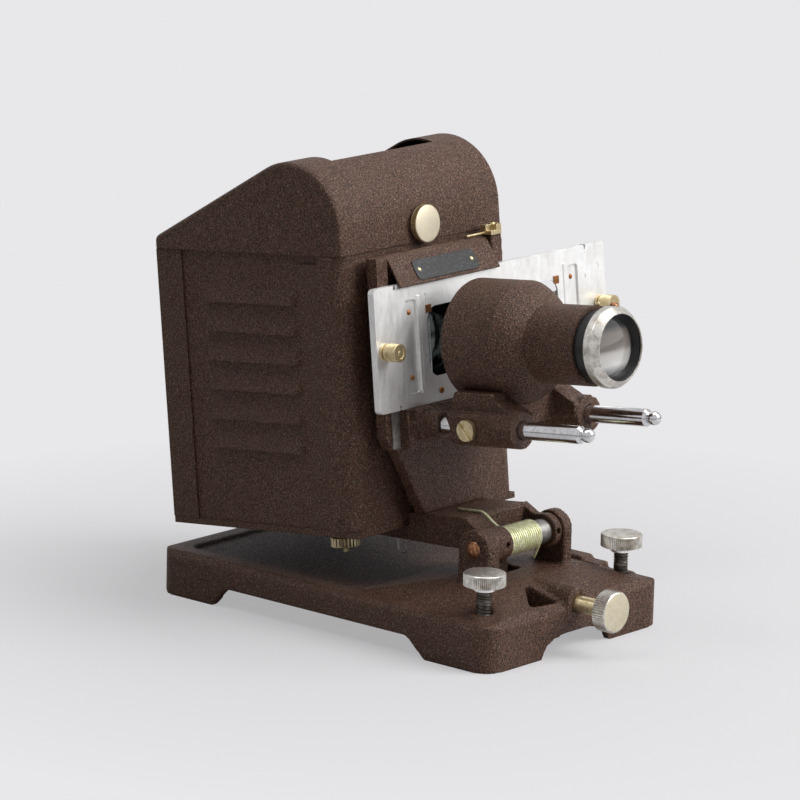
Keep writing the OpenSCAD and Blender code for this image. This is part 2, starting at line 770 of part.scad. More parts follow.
module window_cut(x) {
  along_y(carrier_front - 1, carrier_front + 6)
    rounded(x - window / 2, x + window / 2, axis_z - window / 2, axis_z + window / 2, 8);
}

// Pressed recess beside a window; dir is -1 on the left and 1 on the right
module recess_x(x, dir) {
  translate([x + dir * 33.9, 0, 0]) children();
}

module recess_back() {
  along_y(carrier_front + skin - eps, carrier_front + 2.4)
    rounded(-6.4, 6.4, axis_z - 27.8, axis_z + 27.2, 3.4);
}

module recess_cut() {
  along_y(carrier_front - 1, carrier_front + 1.4)
    rounded(-5.3, 5.3, axis_z - 26.7, axis_z + 26.1, 2.3);
}

module carrier_plate() {
  x0 = carrier_left;
  x1 = carrier_right;
  color([0.85, 0.86, 0.87]) head() difference() {
    union() {
      difference() {
        along_y(carrier_front, frame_front - gap) rounded(x0, x1, carrier_bottom, carrier_top, 3);
        along_y(carrier_front + skin, frame_front) rounded(x0 + skin, x1 - skin,
          carrier_bottom + skin, carrier_top - skin, 2);
      }
      recess_x(0, -1) recess_back();
      recess_x(window_pitch, 1) recess_back();
      bead(-27);
      bead(window_pitch + 27);
      both_ends() box(-56, 56, carrier_front + skin - eps, carrier_front + 3.4,
        axis_z - 27.4, axis_z - 26.2);
    }
    window_cut(0);
    window_cut(window_pitch);
    recess_x(0, -1) recess_cut();
    recess_x(window_pitch, 1) recess_cut();
    both_ends() end_notch(carrier_top - 2.6, carrier_top + 1);
    both_ends() end_notch(carrier_bottom - 1, carrier_bottom + 2.6);
    both_ends() ycyl(2 + snug, carrier_front - 1, frame_front, -carrier_mid - 57.5, axis_z);
  }
}

// Notch in an edge of the plate near its end
module end_notch(z0, z1) {
  box(-carrier_mid - 47.4, -carrier_mid - 45.4, carrier_front - 1, frame_front, z0, z1);
}

// Mirrors about the middle of the plate
module both_ends() {
  translate([carrier_mid, 0, 0]) both_sides() children();
}

module bead(x) {
  intersection() {
    zcyl(2.2, axis_z - 27.5, axis_z + 27.5, x, carrier_front + 1.4);
    box(x - 3, x + 3, carrier_front - 2, carrier_front + skin - 0.1, axis_z - 30, axis_z + 30);
  }
}

// Bowed leaf springs that hold the slide
module carrier_springs() {
  color([0.7, 0.71, 0.72]) head() {
    leaf(-18.7);
    leaf(window_pitch + 18.7);
  }
}

module leaf(x) {
  intersection() {
    difference() {
      zcyl(6, axis_z - 25.6, axis_z + 12.6, x, carrier_front + 7.1);
      zcyl(5.5, axis_z - 27, axis_z + 14, x, carrier_front + 7.1);
    }
    box(x - 3.3, x + 3.3, carrier_front, carrier_front + 4, axis_z - 30, axis_z + 30);
  }
}

module carrier_knob() {
  difference() {
    union() {
      ycyl(5.2, carrier_front - 11.2, carrier_front - 2.8, 0, axis_z);
      ycyl(3.8, carrier_front - 3, carrier_front, 0, axis_z);
      ycyl(4.9, carrier_front - 1.6, carrier_front, 0, axis_z);
      ycyl(2, carrier_front - 1, carrier_front + 2.4, 0, axis_z);
    }
    ycyl(3.2, carrier_front - 12, carrier_front - 10.8, 0, axis_z);
  }
  ycyl(1.2, carrier_front - 11.2, carrier_front - 10, 0, axis_z);
}

module carrier_knob_left() {
  color([0.8, 0.72, 0.55]) head() translate([-57.5, 0, 0]) carrier_knob();
}

module carrier_knob_right() {
  color([0.8, 0.72, 0.55]) head() translate([window_pitch + 57.5, 0, 0]) carrier_knob();
}

module stud(x, z, r) {
  translate([x, carrier_front + 1.4, z]) rotate([90, 0, 0]) dome(r, 0.9);
}

module carrier_studs() {
  color([0.75, 0.5, 0.25]) head() {
    recess_x(0, -1) stud(0, axis_z + 19, 1.6);
    recess_x(0, -1) stud(0, axis_z - 18, 1.6);
    recess_x(window_pitch, 1) stud(0, axis_z + 19, 1.6);
    recess_x(window_pitch, 1) stud(0, axis_z - 18, 1.6);
    both_ends() spring_tab();
    both_ends() translate([-carrier_mid - 11, carrier_front, carrier_bottom + 6])
      rotate([90, 0, 0]) dome(1.9, 1.1);
  }
}

// Brass tongue on which a leaf spring hangs, above its upper end
module spring_tab() {
  box(-carrier_mid - 21, -carrier_mid - 16.4, carrier_front - 0.6, carrier_front,
    axis_z + 17, axis_z + 21.5);
}

module saddle() {
  along_x(18, 37.5) polygon([[car_lug_back, rod_z], [car_lug_back + 2.5, rod_z + 6],
    [drum_back - 5.8, axis_z - 24.7], [drum_front + 0.3, axis_z - 24.7],
    [drum_front - 0.8, axis_z - 28.8], [car_lug_front + 1, rod_z + 7.5], [car_lug_front + 1, rod_z]]);
}

module lens_carriage() {
  color([0.27, 0.2, 0.17]) head() difference() {
    union() {
      both_sides() ycyl(car_lug_r, car_lug_front, car_lug_back, rod_x, rod_z);
      both_sides() saddle();
      box(-20, 20, drum_front + 0.3, drum_back - 5.8, rod_z - 2, axis_z - drum_r + 8);
    }
    ycyl(drum_r, car_lug_front - 5, drum_back + 5, 0, axis_z);
    both_sides() ycyl(rod_r + run, car_lug_front - 1, car_lug_back + 5, rod_x, rod_z);
    carriage_slot();
    xcyl(2.5 + run, -rod_x - car_lug_r - 1, -rod_x - rod_r - 1, lock_y, lock_z);
    both_sides() box(33, 41, car_lug_front - 1, drum_back, rod_z + car_lug_r * 0.8, axis_z);
  }
}

module carriage_slot() {
  x0 = -rod_x - car_lug_r - 2;
  box(x0, -slot_floor, slot_end, car_lug_back + 1, lock_z - slot_half, lock_z + slot_half);
  xcyl(slot_half, x0, -slot_floor, slot_end, lock_z);
}

// Swelling shoulder between the wide and the narrow part of the housing
module lens_housing() {
  length = drum_front - shoulder_front;
  fall = drum_r - tube_r;
  shoulder = [for (i = [0 : shoulder_steps])
    let (t = i / shoulder_steps, swell = 4 * t * (1 - t) * shoulder_swell)
    [drum_r - t * fall + swell * 0.78, -drum_front + t * length + swell * 0.63]];
  bore = barrel_out + run;
  color([0.3, 0.22, 0.19]) head() difference() {
    translate([0, 0, axis_z]) rotate([90, 0, 0]) rotate_extrude()
      polygon(concat([[drum_r, -drum_back]], shoulder, [[tube_r, -tube_front],
      [bore, -tube_front], [bore, -shoulder_front - 0.5], [drum_r - 2.5, -drum_front - 2],
      [drum_r - 2.5, -drum_back]]));
    tube_top() translate([0, 0, barrel_out - 1]) cylinder(r = 1.2 + snug, h = 4);
  }
}

module lock_screw() {
  color([0.78, 0.68, 0.42]) head() difference() {
    union() {
      xcyl(6, -slot_floor - gap - 3, -slot_floor - gap, lock_y, lock_z);
      xcyl(2.5, -slot_floor - gap - 1, -rod_x - rod_r - 1, lock_y, lock_z);
    }
    translate([-slot_floor - gap - 3, lock_y, lock_z]) rotate([-40, 0, 0])
      cube([2, 1.4, 14], center = true);
  }
}

// Place on top of the narrow tube, near its front end
module tube_top() {
  translate([0, tube_front + 1.8, axis_z]) rotate([0, 12, 0]) children();
}

// Place on top of the ring's band
module ring_top() {
  translate([0, (ring_back + ring_band) / 2, axis_z]) rotate([0, 10, 0]) children();
}

module stop_screw() {
  color([0.8, 0.7, 0.45]) head() tube_top() {
    translate([0, 0, barrel_out + 0.2]) cylinder(r = 1.2, h = 2);
    translate([0, 0, tube_r + 0.1]) cylinder(r = 1.8, h = 1.9);
  }
}

module lens_barrel() {
  mouth = -glass_rim - glass_t + 2 * glass_bulge;
  color([0.08, 0.08, 0.08]) head() translate([0, 0, axis_z]) rotate([90, 0, 0]) rotate_extrude()
    polygon([[barrel_out, -tube_front - 30], [barrel_out, -ring_back], [ring_seat, -ring_back],
    [ring_seat, -ring_front - 1.6], [ring_seat - 0.9, -ring_front - 1.6],
    [glass_r + snug, -glass_rim], [glass_r + snug, mouth - 0.6], [glass_r - 1.5, mouth - 0.6],
    [glass_r - 1.5, -ring_back - 4], [17, -ring_back - 6], [17, -tube_front - 26],
    [13, -tube_front - 26], [13, -tube_front - 30]]);
}

module lens_ring() {
  color([0.85, 0.83, 0.78]) head() difference() {
    translate([0, 0, axis_z]) rotate([90, 0, 0]) rotate_extrude()
      polygon([[ring_r, -ring_back], [ring_r, -ring_band], [ring_r - 0.6, -ring_band + 1],
      [ring_seat, -ring_front], [ring_seat - 0.6, -ring_front], [ring_seat - 0.6, -ring_front - 0.8],
      [ring_seat + snug, -ring_front - 1.4], [ring_seat + snug, -ring_back]]);
    ring_top() translate([0, 0, ring_r - 1.4]) cylinder(r = 1.2 + snug, h = 3);
  }
}

module biconvex(r, ball, thick, y0) {
  translate([0, y0, axis_z]) rotate([-90, 0, 0]) rotate_extrude() intersection() {
    translate([0, ball]) circle(r = ball);
    translate([0, thick - ball]) circle(r = ball);
    square([r, thick]);
  }
}

module front_lens() {
  color([0.8, 0.85, 0.9, 0.4]) head() biconvex(glass_r, glass_ball, glass_t,
    glass_rim - glass_bulge);
}

module rear_lens() {
  color([0.8, 0.85, 0.9, 0.4]) head() biconvex(16.9, 45, 9, tube_front + 16);
}

module ring_screw() {
  color([0.8, 0.75, 0.6]) head() {
    ring_top() {
      translate([0, 0, ring_r + 0.02]) dome(2.5, 2.1);
      translate([0, 0, ring_r - 1.3]) cylinder(r = 1.2, h = 1.5);
    }
  }
}

module wire_loop() {
  color([0.8, 0.8, 0.78]) head() translate([-24, hinge_y + 64, hinge_z - 0.6]) {
    translate([0, -3, -5]) cylinder(r = 0.6, h = 5);
    translate([0, 3, -5]) cylinder(r = 0.6, h = 5);
    difference() {
      translate([0, 0, -5]) rotate([0, 90, 0]) rotate_extrude() translate([3, 0]) circle(r = 0.6);
      box(-2, 2, -5, 5, -4.9, 0);
    }
  }
}

module power_inlet() {
  color([0.09, 0.08, 0.08]) head() difference() {
    union() {
      ycyl(13, house_back - 16, house_back + 6, 0, house_z + 32);
      ycyl(16.5, house_back, house_back + 3, 0, house_z + 32);
    }
    ycyl(11, house_back - 12, house_back + 7, 0, house_z + 32);
    both_sides() ycyl(2.4 + snug, house_back - 17, house_back - 10, 6, house_z + 32);
  }
}

module inlet_pins() {
  color([0.8, 0.7, 0.45]) head() both_sides() ycyl(2.4, house_back - 18, house_back + 4, 6, house_z + 32);
}

module spring_sleeve() {
  color([0.4, 0.38, 0.36]) head() difference() {
    xcyl(spring_r - wire_r - gap, -barrel_left_in, barrel_right_in, hinge_y, hinge_z);
    xcyl(pin_r + run, -barrel_left_in - 1, barrel_right_in + 1, hinge_y, hinge_z);
  }
}

// Wound wire: a leg over the arm, the coil, and a leg down to the base
coil_steps = 24;
coil_n = round(spring_turns * coil_steps);
function coil_at(i) = [spring_start + spring_pitch * i / coil_steps,
  -spring_r * sin(360 * i / coil_steps), spring_r * cos(360 * i / coil_steps)];
coil = [for (i = [0 : coil_n]) coil_at(i)];
leg_on_arm = [[-10, 32.6], [-10.2, 31], [-11, 25], [-11.2, 20], [-11.4, 16.5]];
leg_up = concat([for (p = leg_on_arm) [p[0], p[1], arm_top - hinge_z + wire_r + gap]],
  [[-11.5, 14.5, 16.45], [-11.6, 12.2, 15.6], [-11.8, 9.4, 13.9], [-12, 6.2, 11.3], [-12.1, 3, 9.1]]);
leg_way = [0, -cos(360 * spring_turns), -sin(360 * spring_turns)];
leg_down = [for (t = [3, 6, 9, 11]) coil[coil_n] + t * leg_way];
spring_path = concat(leg_up, coil, leg_down);

// Round wire along a path, as a tube with six sides
module wire(path, r) {
  n = len(path);
  sides = 6;
  function dir(i) = let (d = path[min(i + 1, n - 1)] - path[max(i - 1, 0)]) d / norm(d);
  function side_of(i) = let (s = cross(dir(i), [1, 0, 0])) s / norm(s);
  pts = [for (i = [0 : n - 1], k = [0 : sides - 1])
    let (s = side_of(i), u = cross(s, dir(i)), t = 360 * k / sides)
    path[i] + r * (cos(t) * s + sin(t) * u)];
  faces = concat(
    [[for (k = [sides - 1 : -1 : 0]) k]],
    [for (i = [0 : n - 2], k = [0 : sides - 1]) let (a = i * sides + k, b = i * sides + (k + 1) % sides)
      [a, b, b + sides, a + sides]],
    [[for (k = [0 : sides - 1]) (n - 1) * sides + k]]);
  polyhedron(points = pts, faces = faces, convexity = 8);
}

module torsion_spring() {
  color([0.8, 0.82, 0.55]) head() translate([0, hinge_y, hinge_z]) wire(spring_path, wire_r);
}

// Least distance between two stretches of the wire that are over half a turn apart
path_n = len(spring_path);
wire_gap = min([for (i = [0 : path_n - 1]) for (j = [i + 10 : 2 : path_n - 1])
  norm(spring_path[i] - spring_path[j]) - 2 * wire_r]);
echo(wire_gap = wire_gap);

base_casting();
hinge_pin();
level_screw_left();
level_screw_right();
tilt_screw();
tilt_arm();
front_frame();
house_front_sheet();
house_back_sheet();
corner_strip_left();
corner_strip_right();
side_panel_left();
side_panel_right();
bottom_tray();
house_rivets();
condenser_barrel();
condenser_lens_front();
condenser_lens_rear();
heat_glass();
socket_bracket();
lamp_socket();
lamp_bulb();
lamp_reflector();
lamp_nut();
guide_rod_left();
guide_rod_right();
slide_flap();
name_plate();
name_plate_rivets();
guide_strip();
hood_hinge_leaf();
hood_hinge_pin();
spring_sleeve();
torsion_spring();
wire_loop();
power_inlet();
inlet_pins();
hood_shell();
hood_baffle();
hood_hinge_tab();
hood_knob();
catch();
carrier_plate();
carrier_springs();
carrier_knob_left();
carrier_knob_right();
carrier_studs();
lens_carriage();
lens_housing();
lock_screw();
lens_barrel();
lens_ring();
front_lens();
rear_lens();
ring_screw();
stop_screw();
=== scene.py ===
"""Looks of a small slide projector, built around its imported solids.

Everything is in metres. Pieces of the tilting head are drawn upright first, with
the lens level, and are then turned about the tilt hinge into their place at rest.
"""
import json
import math

import bmesh
import bpy
from bpy.props import FloatProperty, FloatVectorProperty, PointerProperty
from mathutils import Matrix, Vector


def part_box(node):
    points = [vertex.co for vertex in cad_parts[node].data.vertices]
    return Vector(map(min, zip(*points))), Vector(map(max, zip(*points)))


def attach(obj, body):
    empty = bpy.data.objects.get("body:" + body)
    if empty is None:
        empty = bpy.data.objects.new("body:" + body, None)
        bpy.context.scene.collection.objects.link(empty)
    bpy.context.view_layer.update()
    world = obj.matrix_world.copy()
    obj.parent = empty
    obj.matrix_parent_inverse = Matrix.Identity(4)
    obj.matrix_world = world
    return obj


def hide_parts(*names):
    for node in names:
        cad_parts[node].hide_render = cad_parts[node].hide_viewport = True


bl_info = {
    "name": "Slide Projector",
    "version": (1, 0, 0),
    "blender": (4, 5, 0),
    "location": "View3D > Sidebar > Projector",
    "description": "Dresses the solids of a small slide projector",
    "category": "Object",
}

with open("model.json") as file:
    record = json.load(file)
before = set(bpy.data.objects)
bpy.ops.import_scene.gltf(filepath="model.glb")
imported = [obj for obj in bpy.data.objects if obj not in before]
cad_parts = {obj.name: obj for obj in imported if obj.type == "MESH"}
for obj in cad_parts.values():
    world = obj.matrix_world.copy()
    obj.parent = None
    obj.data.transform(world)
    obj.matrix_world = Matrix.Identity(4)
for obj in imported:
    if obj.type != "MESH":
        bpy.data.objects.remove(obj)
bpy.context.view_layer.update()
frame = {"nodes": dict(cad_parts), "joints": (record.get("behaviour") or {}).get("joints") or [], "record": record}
MM = 0.001

JOINTS = {joint["name"]: joint for joint in frame["joints"]}
HINGE = Vector(JOINTS["head_tilt"]["pos_m"])
LENS_WAY = Vector(JOINTS["focus_travel"]["axis"])
REST_TILT = math.atan2(LENS_WAY.z, -LENS_WAY.y)
HEAD = Matrix.Translation(HINGE) @ Matrix.Rotation(-REST_TILT, 4, "X") @ Matrix.Translation(-HINGE)
MIDDLE = HINGE.x
LENS_Z = (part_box("front_lens")[0][2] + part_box("front_lens")[1][2]) / 2


# Shapes

def level_box(node):
    """Lowest and highest corner of a head node with the lens level."""
    back = HEAD.inverted()
    points = [back @ v.co for v in frame["nodes"][node].data.vertices]
    low = Vector([min(p[i] for p in points) for i in range(3)])
    high = Vector([max(p[i] for p in points) for i in range(3)])
    return low, high


def new_object(name, mesh):
    obj = bpy.data.objects.new(name, mesh)
    bpy.context.scene.collection.objects.link(obj)
    return obj


def mesh_from(name, build):
    """Runs build on an empty bmesh and returns it as a mesh with outward faces."""
    bm = bmesh.new()
    build(bm)
    bmesh.ops.remove_doubles(bm, verts=bm.verts, dist=1e-6)
    bmesh.ops.recalc_face_normals(bm, faces=bm.faces)
    mesh = bpy.data.meshes.new(name)
    bm.to_mesh(mesh)
    bm.free()
    return mesh


def merged_copy(node, name):
    """A copy of a CAD node as one clean mesh, with its flat faces joined up."""
    mesh = frame["nodes"][node].data.copy()
    mesh.name = name
    bm = bmesh.new()
    bm.from_mesh(mesh)
    bmesh.ops.remove_doubles(bm, verts=bm.verts, dist=2e-6)
    bmesh.ops.dissolve_limit(bm, angle_limit=math.radians(0.5), verts=bm.verts, edges=bm.edges)
    bm.to_mesh(mesh)
    bm.free()
    mesh.materials.clear()
    return new_object(name, mesh)


def baked(obj, name=None):
    """Replaces an object and its modifiers by one plain mesh object."""
    bpy.context.view_layer.update()
    depsgraph = bpy.context.evaluated_depsgraph_get()
    mesh = bpy.data.meshes.new_from_object(obj.evaluated_get(depsgraph))
    name = name or obj.name
    old = obj.data
    bpy.data.objects.remove(obj)
    if old.users == 0 and isinstance(old, bpy.types.Mesh):
        bpy.data.meshes.remove(old)
    mesh.name = name
    return new_object(name, mesh)


def smooth(obj, degrees=35):
    """Rounds the shading over edges that turn less than the given angle."""
    mesh = obj.data
    mesh.shade_smooth()
    bm = bmesh.new()
    bm.from_mesh(mesh)
    limit = math.radians(degrees)
    for edge in bm.edges:
        edge.smooth = not edge.is_manifold or edge.calc_face_angle(0.0) < limit
    bm.to_mesh(mesh)
    bm.free()
    return obj


def tip(matrix, obj):
    obj.data.transform(matrix)
    obj.data.update()
    return obj


def dress(obj, body, *nodes, finish=None, worn=None):
    """Gives a piece its finishes, its body and the nodes that it stands for."""
    if finish:
        obj.data.materials.clear()
        obj.data.materials.append(finish)
        if worn:
            obj.data.materials.append(worn)
    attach(obj, body)
    if nodes:
        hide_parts(*nodes)
    return obj


def body_of(node):
    for body, nodes in frame["record"]["behaviour"]["bodies"].items():
        if node in nodes:
            return body
    raise ValueError("no body holds " + node)


def flattened(obj):
    """Keeps large flat faces flat in their shading, next to narrow rounded edges."""
    weigh = obj.modifiers.new("flat", "WEIGHTED_NORMAL")
    weigh.keep_sharp = True
    weigh.weight = 90
    return baked(obj)


def eased(node, name, width, finish, worn=None, angle=30, segments=2, crease=35):
    """A CAD node with its sharp edges rounded off, in a finish of its own."""
    obj = merged_copy(node, name)
    bevel = obj.modifiers.new("edges", "BEVEL")
    bevel.width = width
    bevel.segments = segments
    bevel.limit_method = "ANGLE"
    bevel.angle_limit = math.radians(angle)
    bevel.use_clamp_overlap = True
    bevel.material = 1 if worn else -1
    obj.data.materials.append(finish)
    if worn:
        obj.data.materials.append(worn)
    obj = flattened(smooth(baked(obj), crease))
    return dress(obj, body_of(node), node, finish=finish, worn=worn)


def eased_all(*rows):
    """Rounds CAD nodes off: rows of node, name, width in millimetres, finish and angle."""
    for node, name, width, metal, angle in rows:
        eased(node, name, width * MM, finish(metal), angle=angle)


def walled(obj, sheet):
    """Gives a bare surface the thickness of a sheet, on its inner side."""
    wall = obj.modifiers.new("wall", "SOLIDIFY")
    wall.thickness = sheet
    wall.offset = -1.0


def cast(node, name, voxel, finish, rounds=3):
    """A CAD node as a casting: remeshed, with soft edges and small fillets."""
    obj = merged_copy(node, name)
    remesh = obj.modifiers.new("skin", "REMESH")
    remesh.mode = "VOXEL"
    remesh.voxel_size = voxel
    ease = obj.modifiers.new("soft", "SMOOTH")
    ease.factor = 0.5
    ease.iterations = rounds
    obj = baked(obj)
    obj.data.shade_smooth()
    return dress(obj, body_of(node), node, finish=finish)


def lathe(bm, profile, turn, segments=72):
    """Turns [radius, height] points about the turn matrix's own Z axis."""
    rings = []
    for radius, height in profile:
        if radius < 1e-7:
            rings.append([bm.verts.new(turn @ Vector((0, 0, height)))])
            continue
        ring = []
        for i in range(segments):
            a = 2 * math.pi * i / segments
            point = Vector((radius * math.cos(a), radius * math.sin(a), height))
            ring.append(bm.verts.new(turn @ point))
        rings.append(ring)
    for low, high in zip(rings, rings[1:]):
        for i in range(segments):
            j = (i + 1) % segments
            if len(low) == 1 and len(high) == 1:
                continue
            if len(low) == 1:
                bm.faces.new((low[0], high[i], high[j]))
            elif len(high) == 1:
                bm.faces.new((low[i], high[0], low[j]))
            else:
                bm.faces.new((low[i], high[i], high[j], low[j]))


def tube(bm, points, radius, sides=10):
    """A round wire through the points, with closed ends."""
    points = [Vector(p) for p in points]
    way = (points[1] - points[0]).normalized()
    side = way.orthogonal().normalized()
    rings = []
    for i, point in enumerate(points):
        ahead = points[min(i + 1, len(points) - 1)] - points[max(i - 1, 0)]
        way = ahead.normalized()
        side = (side - way * side.dot(way)).normalized()
        across = way.cross(side)
        ring = []
        for k in range(sides):
            a = 2 * math.pi * k / sides
            ring.append(bm.verts.new(point + radius * (math.cos(a) * side + math.sin(a) * across)))
        rings.append(ring)
    for low, high in zip(rings, rings[1:]):
        for k in range(sides):
            j = (k + 1) % sides
            bm.faces.new((low[k], low[j], high[j], high[k]))
    bm.faces.new(list(reversed(rings[0])))
    bm.faces.new(rings[-1])


def joined(name, objects):
    """One object from several mesh objects, with their materials kept."""
    bm = bmesh.new()
    materials = []
    for obj in objects:
        start = len(bm.faces)
        bm.from_mesh(obj.data)
        bm.faces.ensure_lookup_table()
        for face in bm.faces[start:]:
            material = obj.data.materials[face.material_index]
            if material not in materials:
                materials.append(material)
            face.material_index = materials.index(material)
    mesh = bpy.data.meshes.new(name)
    bm.to_mesh(mesh)
    bm.free()
    for material in materials:
        mesh.materials.append(material)
    for obj in objects:
        bpy.data.objects.remove(obj)
    return new_object(name, mesh)


# Geometry node trees

def wire(tree, value, socket):
    """Links a node's output to a socket, or sets the socket to a plain value."""
    if isinstance(value, bpy.types.NodeSocket):
        tree.links.new(value, socket)
    else:
        socket.default_value = value


def add_node(tree, kind, inputs=None, **settings):
    """Adds a node, sets its settings, and sets or links its inputs."""
    node = tree.nodes.new(kind)
    for key, value in settings.items():
        setattr(node, key, value)
    for key, value in (inputs or {}).items():
        wire(tree, value, node.inputs[key])
    return node


def node_group(name, sockets):
    """A geometry tree with a geometry input and output and the named inputs."""
    tree = bpy.data.node_groups.new(name, "GeometryNodeTree")
    tree.interface.new_socket("Geometry", in_out="INPUT", socket_type="NodeSocketGeometry")
    for label, kind in sockets:
        tree.interface.new_socket(label, in_out="INPUT", socket_type=kind)
    tree.interface.new_socket("Geometry", in_out="OUTPUT", socket_type="NodeSocketGeometry")
    return tree, tree.nodes.new("NodeGroupInput"), tree.nodes.new("NodeGroupOutput")


def painted(tree, node, given, result):
    """Gives a node's geometry the material that is asked for and closes the tree."""
    paint = add_node(tree, "GeometryNodeSetMaterial", {
        "Geometry": node.outputs[0], "Material": given.outputs["Material"]})
    tree.links.new(paint.outputs[0], result.inputs[0])
    return tree


def knurl_tree():
    """Straight ridges standing round a cylinder: a square bar on each point of a circle."""
    tree, given, result = node_group("knurl", (
        ("Radius", "NodeSocketFloat"), ("Length", "NodeSocketFloat"), ("Count", "NodeSocketInt"),
        ("Width", "NodeSocketFloat"), ("Material", "NodeSocketMaterial")))
    sizes = add_node(tree, "ShaderNodeCombineXYZ", {
        0: given.outputs["Width"], 1: given.outputs["Width"], 2: given.outputs["Length"]})
    bar = add_node(tree, "GeometryNodeMeshCube", {"Size": sizes.outputs[0]})
    turned = add_node(tree, "GeometryNodeTransform", {
        "Geometry": bar.outputs["Mesh"], "Rotation": (0, 0, math.pi / 4)})
    ring = add_node(tree, "GeometryNodeMeshCircle", {
        "Vertices": given.outputs["Count"], "Radius": given.outputs["Radius"]})
    index = add_node(tree, "GeometryNodeInputIndex")
    share = add_node(tree, "ShaderNodeMath", {
        0: index.outputs[0], 1: given.outputs["Count"]}, operation="DIVIDE")
    angle = add_node(tree, "ShaderNodeMath", {
        0: share.outputs[0], 1: 2 * math.pi}, operation="MULTIPLY")
    turn = add_node(tree, "ShaderNodeCombineXYZ", {2: angle.outputs[0]})
    copies = add_node(tree, "GeometryNodeInstanceOnPoints", {
        "Points": ring.outputs["Mesh"], "Instance": turned.outputs[0], "Rotation": turn.outputs[0]})
    real = add_node(tree, "GeometryNodeRealizeInstances", {"Geometry": copies.outputs[0]})
    return painted(tree, real, given, result)


def thread_tree():
    """A screw thread: a three-sided ridge swept along a helix."""
    tree, given, result = node_group("thread", (
        ("Radius", "NodeSocketFloat"), ("Height", "NodeSocketFloat"), ("Turns", "NodeSocketFloat"),
        ("Depth", "NodeSocketFloat"), ("Material", "NodeSocketMaterial")))
    helix = add_node(tree, "GeometryNodeCurveSpiral", {
        "Resolution": 40, "Rotations": given.outputs["Turns"],
        "Start Radius": given.outputs["Radius"], "End Radius": given.outputs["Radius"],
        "Height": given.outputs["Height"]})
    outline = add_node(tree, "GeometryNodeCurvePrimitiveCircle", {
        "Resolution": 3, "Radius": given.outputs["Depth"]})
    ridge = add_node(tree, "GeometryNodeCurveToMesh", {
        "Curve": helix.outputs[0], "Profile Curve": outline.outputs[0], "Fill Caps": True})
    real = add_node(tree, "GeometryNodeRealizeInstances", {"Geometry": ridge.outputs[0]})
    return painted(tree, real, given, result)


def row_tree():
    """Copies of the object's own mesh in a straight row."""
    tree, given, result = node_group("row", (
        ("Count", "NodeSocketInt"), ("Step", "NodeSocketVector"),
        ("Material", "NodeSocketMaterial")))
    line = add_node(tree, "GeometryNodeMeshLine", {
        "Count": given.outputs["Count"], "Offset": given.outputs["Step"]}, mode="OFFSET")
    copies = add_node(tree, "GeometryNodeInstanceOnPoints", {
        "Points": line.outputs[0], "Instance": given.outputs["Geometry"]})
    real = add_node(tree, "GeometryNodeRealizeInstances", {"Geometry": copies.outputs[0]})
    return painted(tree, real, given, result)


TREES = {}


def grown(name, kind, mesh=None, **values):
    """A mesh object grown by one of the geometry trees from named values."""
    if kind not in TREES:
        TREES[kind] = {"knurl": knurl_tree, "thread": thread_tree, "row": row_tree}[kind]()
    tree = TREES[kind]
    obj = new_object(name, mesh or bpy.data.meshes.new(name))
    modifier = obj.modifiers.new(kind, "NODES")
    modifier.node_group = tree
    for item in tree.interface.items_tree:
        if item.in_out == "INPUT" and item.name in values:
            modifier[item.identifier] = values[item.name]
    return baked(obj)


# Finishes

def linear(code):
    """sRGB hex to linear red, green and blue."""
    parts = [int(code[i:i + 2], 16) / 255 for i in (1, 3, 5)]
    return [c / 12.92 if c <= 0.04045 else ((c + 0.055) / 1.055) ** 2.4 for c in parts]


def rgba(code):
    return (*linear(code), 1.0)


def settings_hex(colour):
    """A colour property, which holds sRGB parts, as a hex code."""
    return "#%02x%02x%02x" % tuple(round(255 * part) for part in colour)


def new_finish(name):
    material = bpy.data.materials.new(name)
    material.use_nodes = True
    tree = material.node_tree
    shader = tree.nodes["Principled BSDF"]
    place = add_node(tree, "ShaderNodeTexCoord")
    return material, tree, shader, place.outputs["Object"]


def noise(tree, place, size, detail=2.0, rough=0.5, stretch=None):
    """Noise whose features are about the given size in metres."""
    if stretch:
        moved = add_node(tree, "ShaderNodeMapping", {"Vector": place, "Scale": stretch})
        place = moved.outputs[0]
    texture = add_node(tree, "ShaderNodeTexNoise", {
        "Vector": place, "Scale": 1 / size, "Detail": detail, "Roughness": rough})
    return texture.outputs["Fac"]


def ramp(tree, value, stops):
    """Colour ramp through (position, hex) stops."""
    node = add_node(tree, "ShaderNodeValToRGB", {"Fac": value})
    elements = node.color_ramp.elements
    while len(elements) < len(stops):
        elements.new(0.5)
    for element, (position, code) in zip(elements, stops):
        element.position = position
        element.color = rgba(code)
    return node.outputs["Color"]


def band(tree, value, low, high, out_low=0.0, out_high=1.0):
    """Maps low to high onto out_low to out_high, held outside."""
    node = add_node(tree, "ShaderNodeMapRange", {
        "Value": value, "From Min": low, "From Max": high, "To Min": out_low, "To Max": out_high})
    return node.outputs["Result"]


def mixed(tree, share, first, second):
    colour_a, colour_b = 6, 7
    node = add_node(tree, "ShaderNodeMix", {
        "Factor": share, colour_a: first, colour_b: second}, data_type="RGBA")
    return node.outputs[2]


def maths(tree, operation, first, second):
    return add_node(tree, "ShaderNodeMath", {0: first, 1: second}, operation=operation).outputs[0]


def times(tree, first, second):
    return maths(tree, "MULTIPLY", first, second)


def bump(tree, shader, height, depth, strength=1.0):
    node = add_node(tree, "ShaderNodeBump", {
        "Height": height, "Distance": depth, "Strength": strength})
    wire(tree, node.outputs["Normal"], shader.inputs["Normal"])


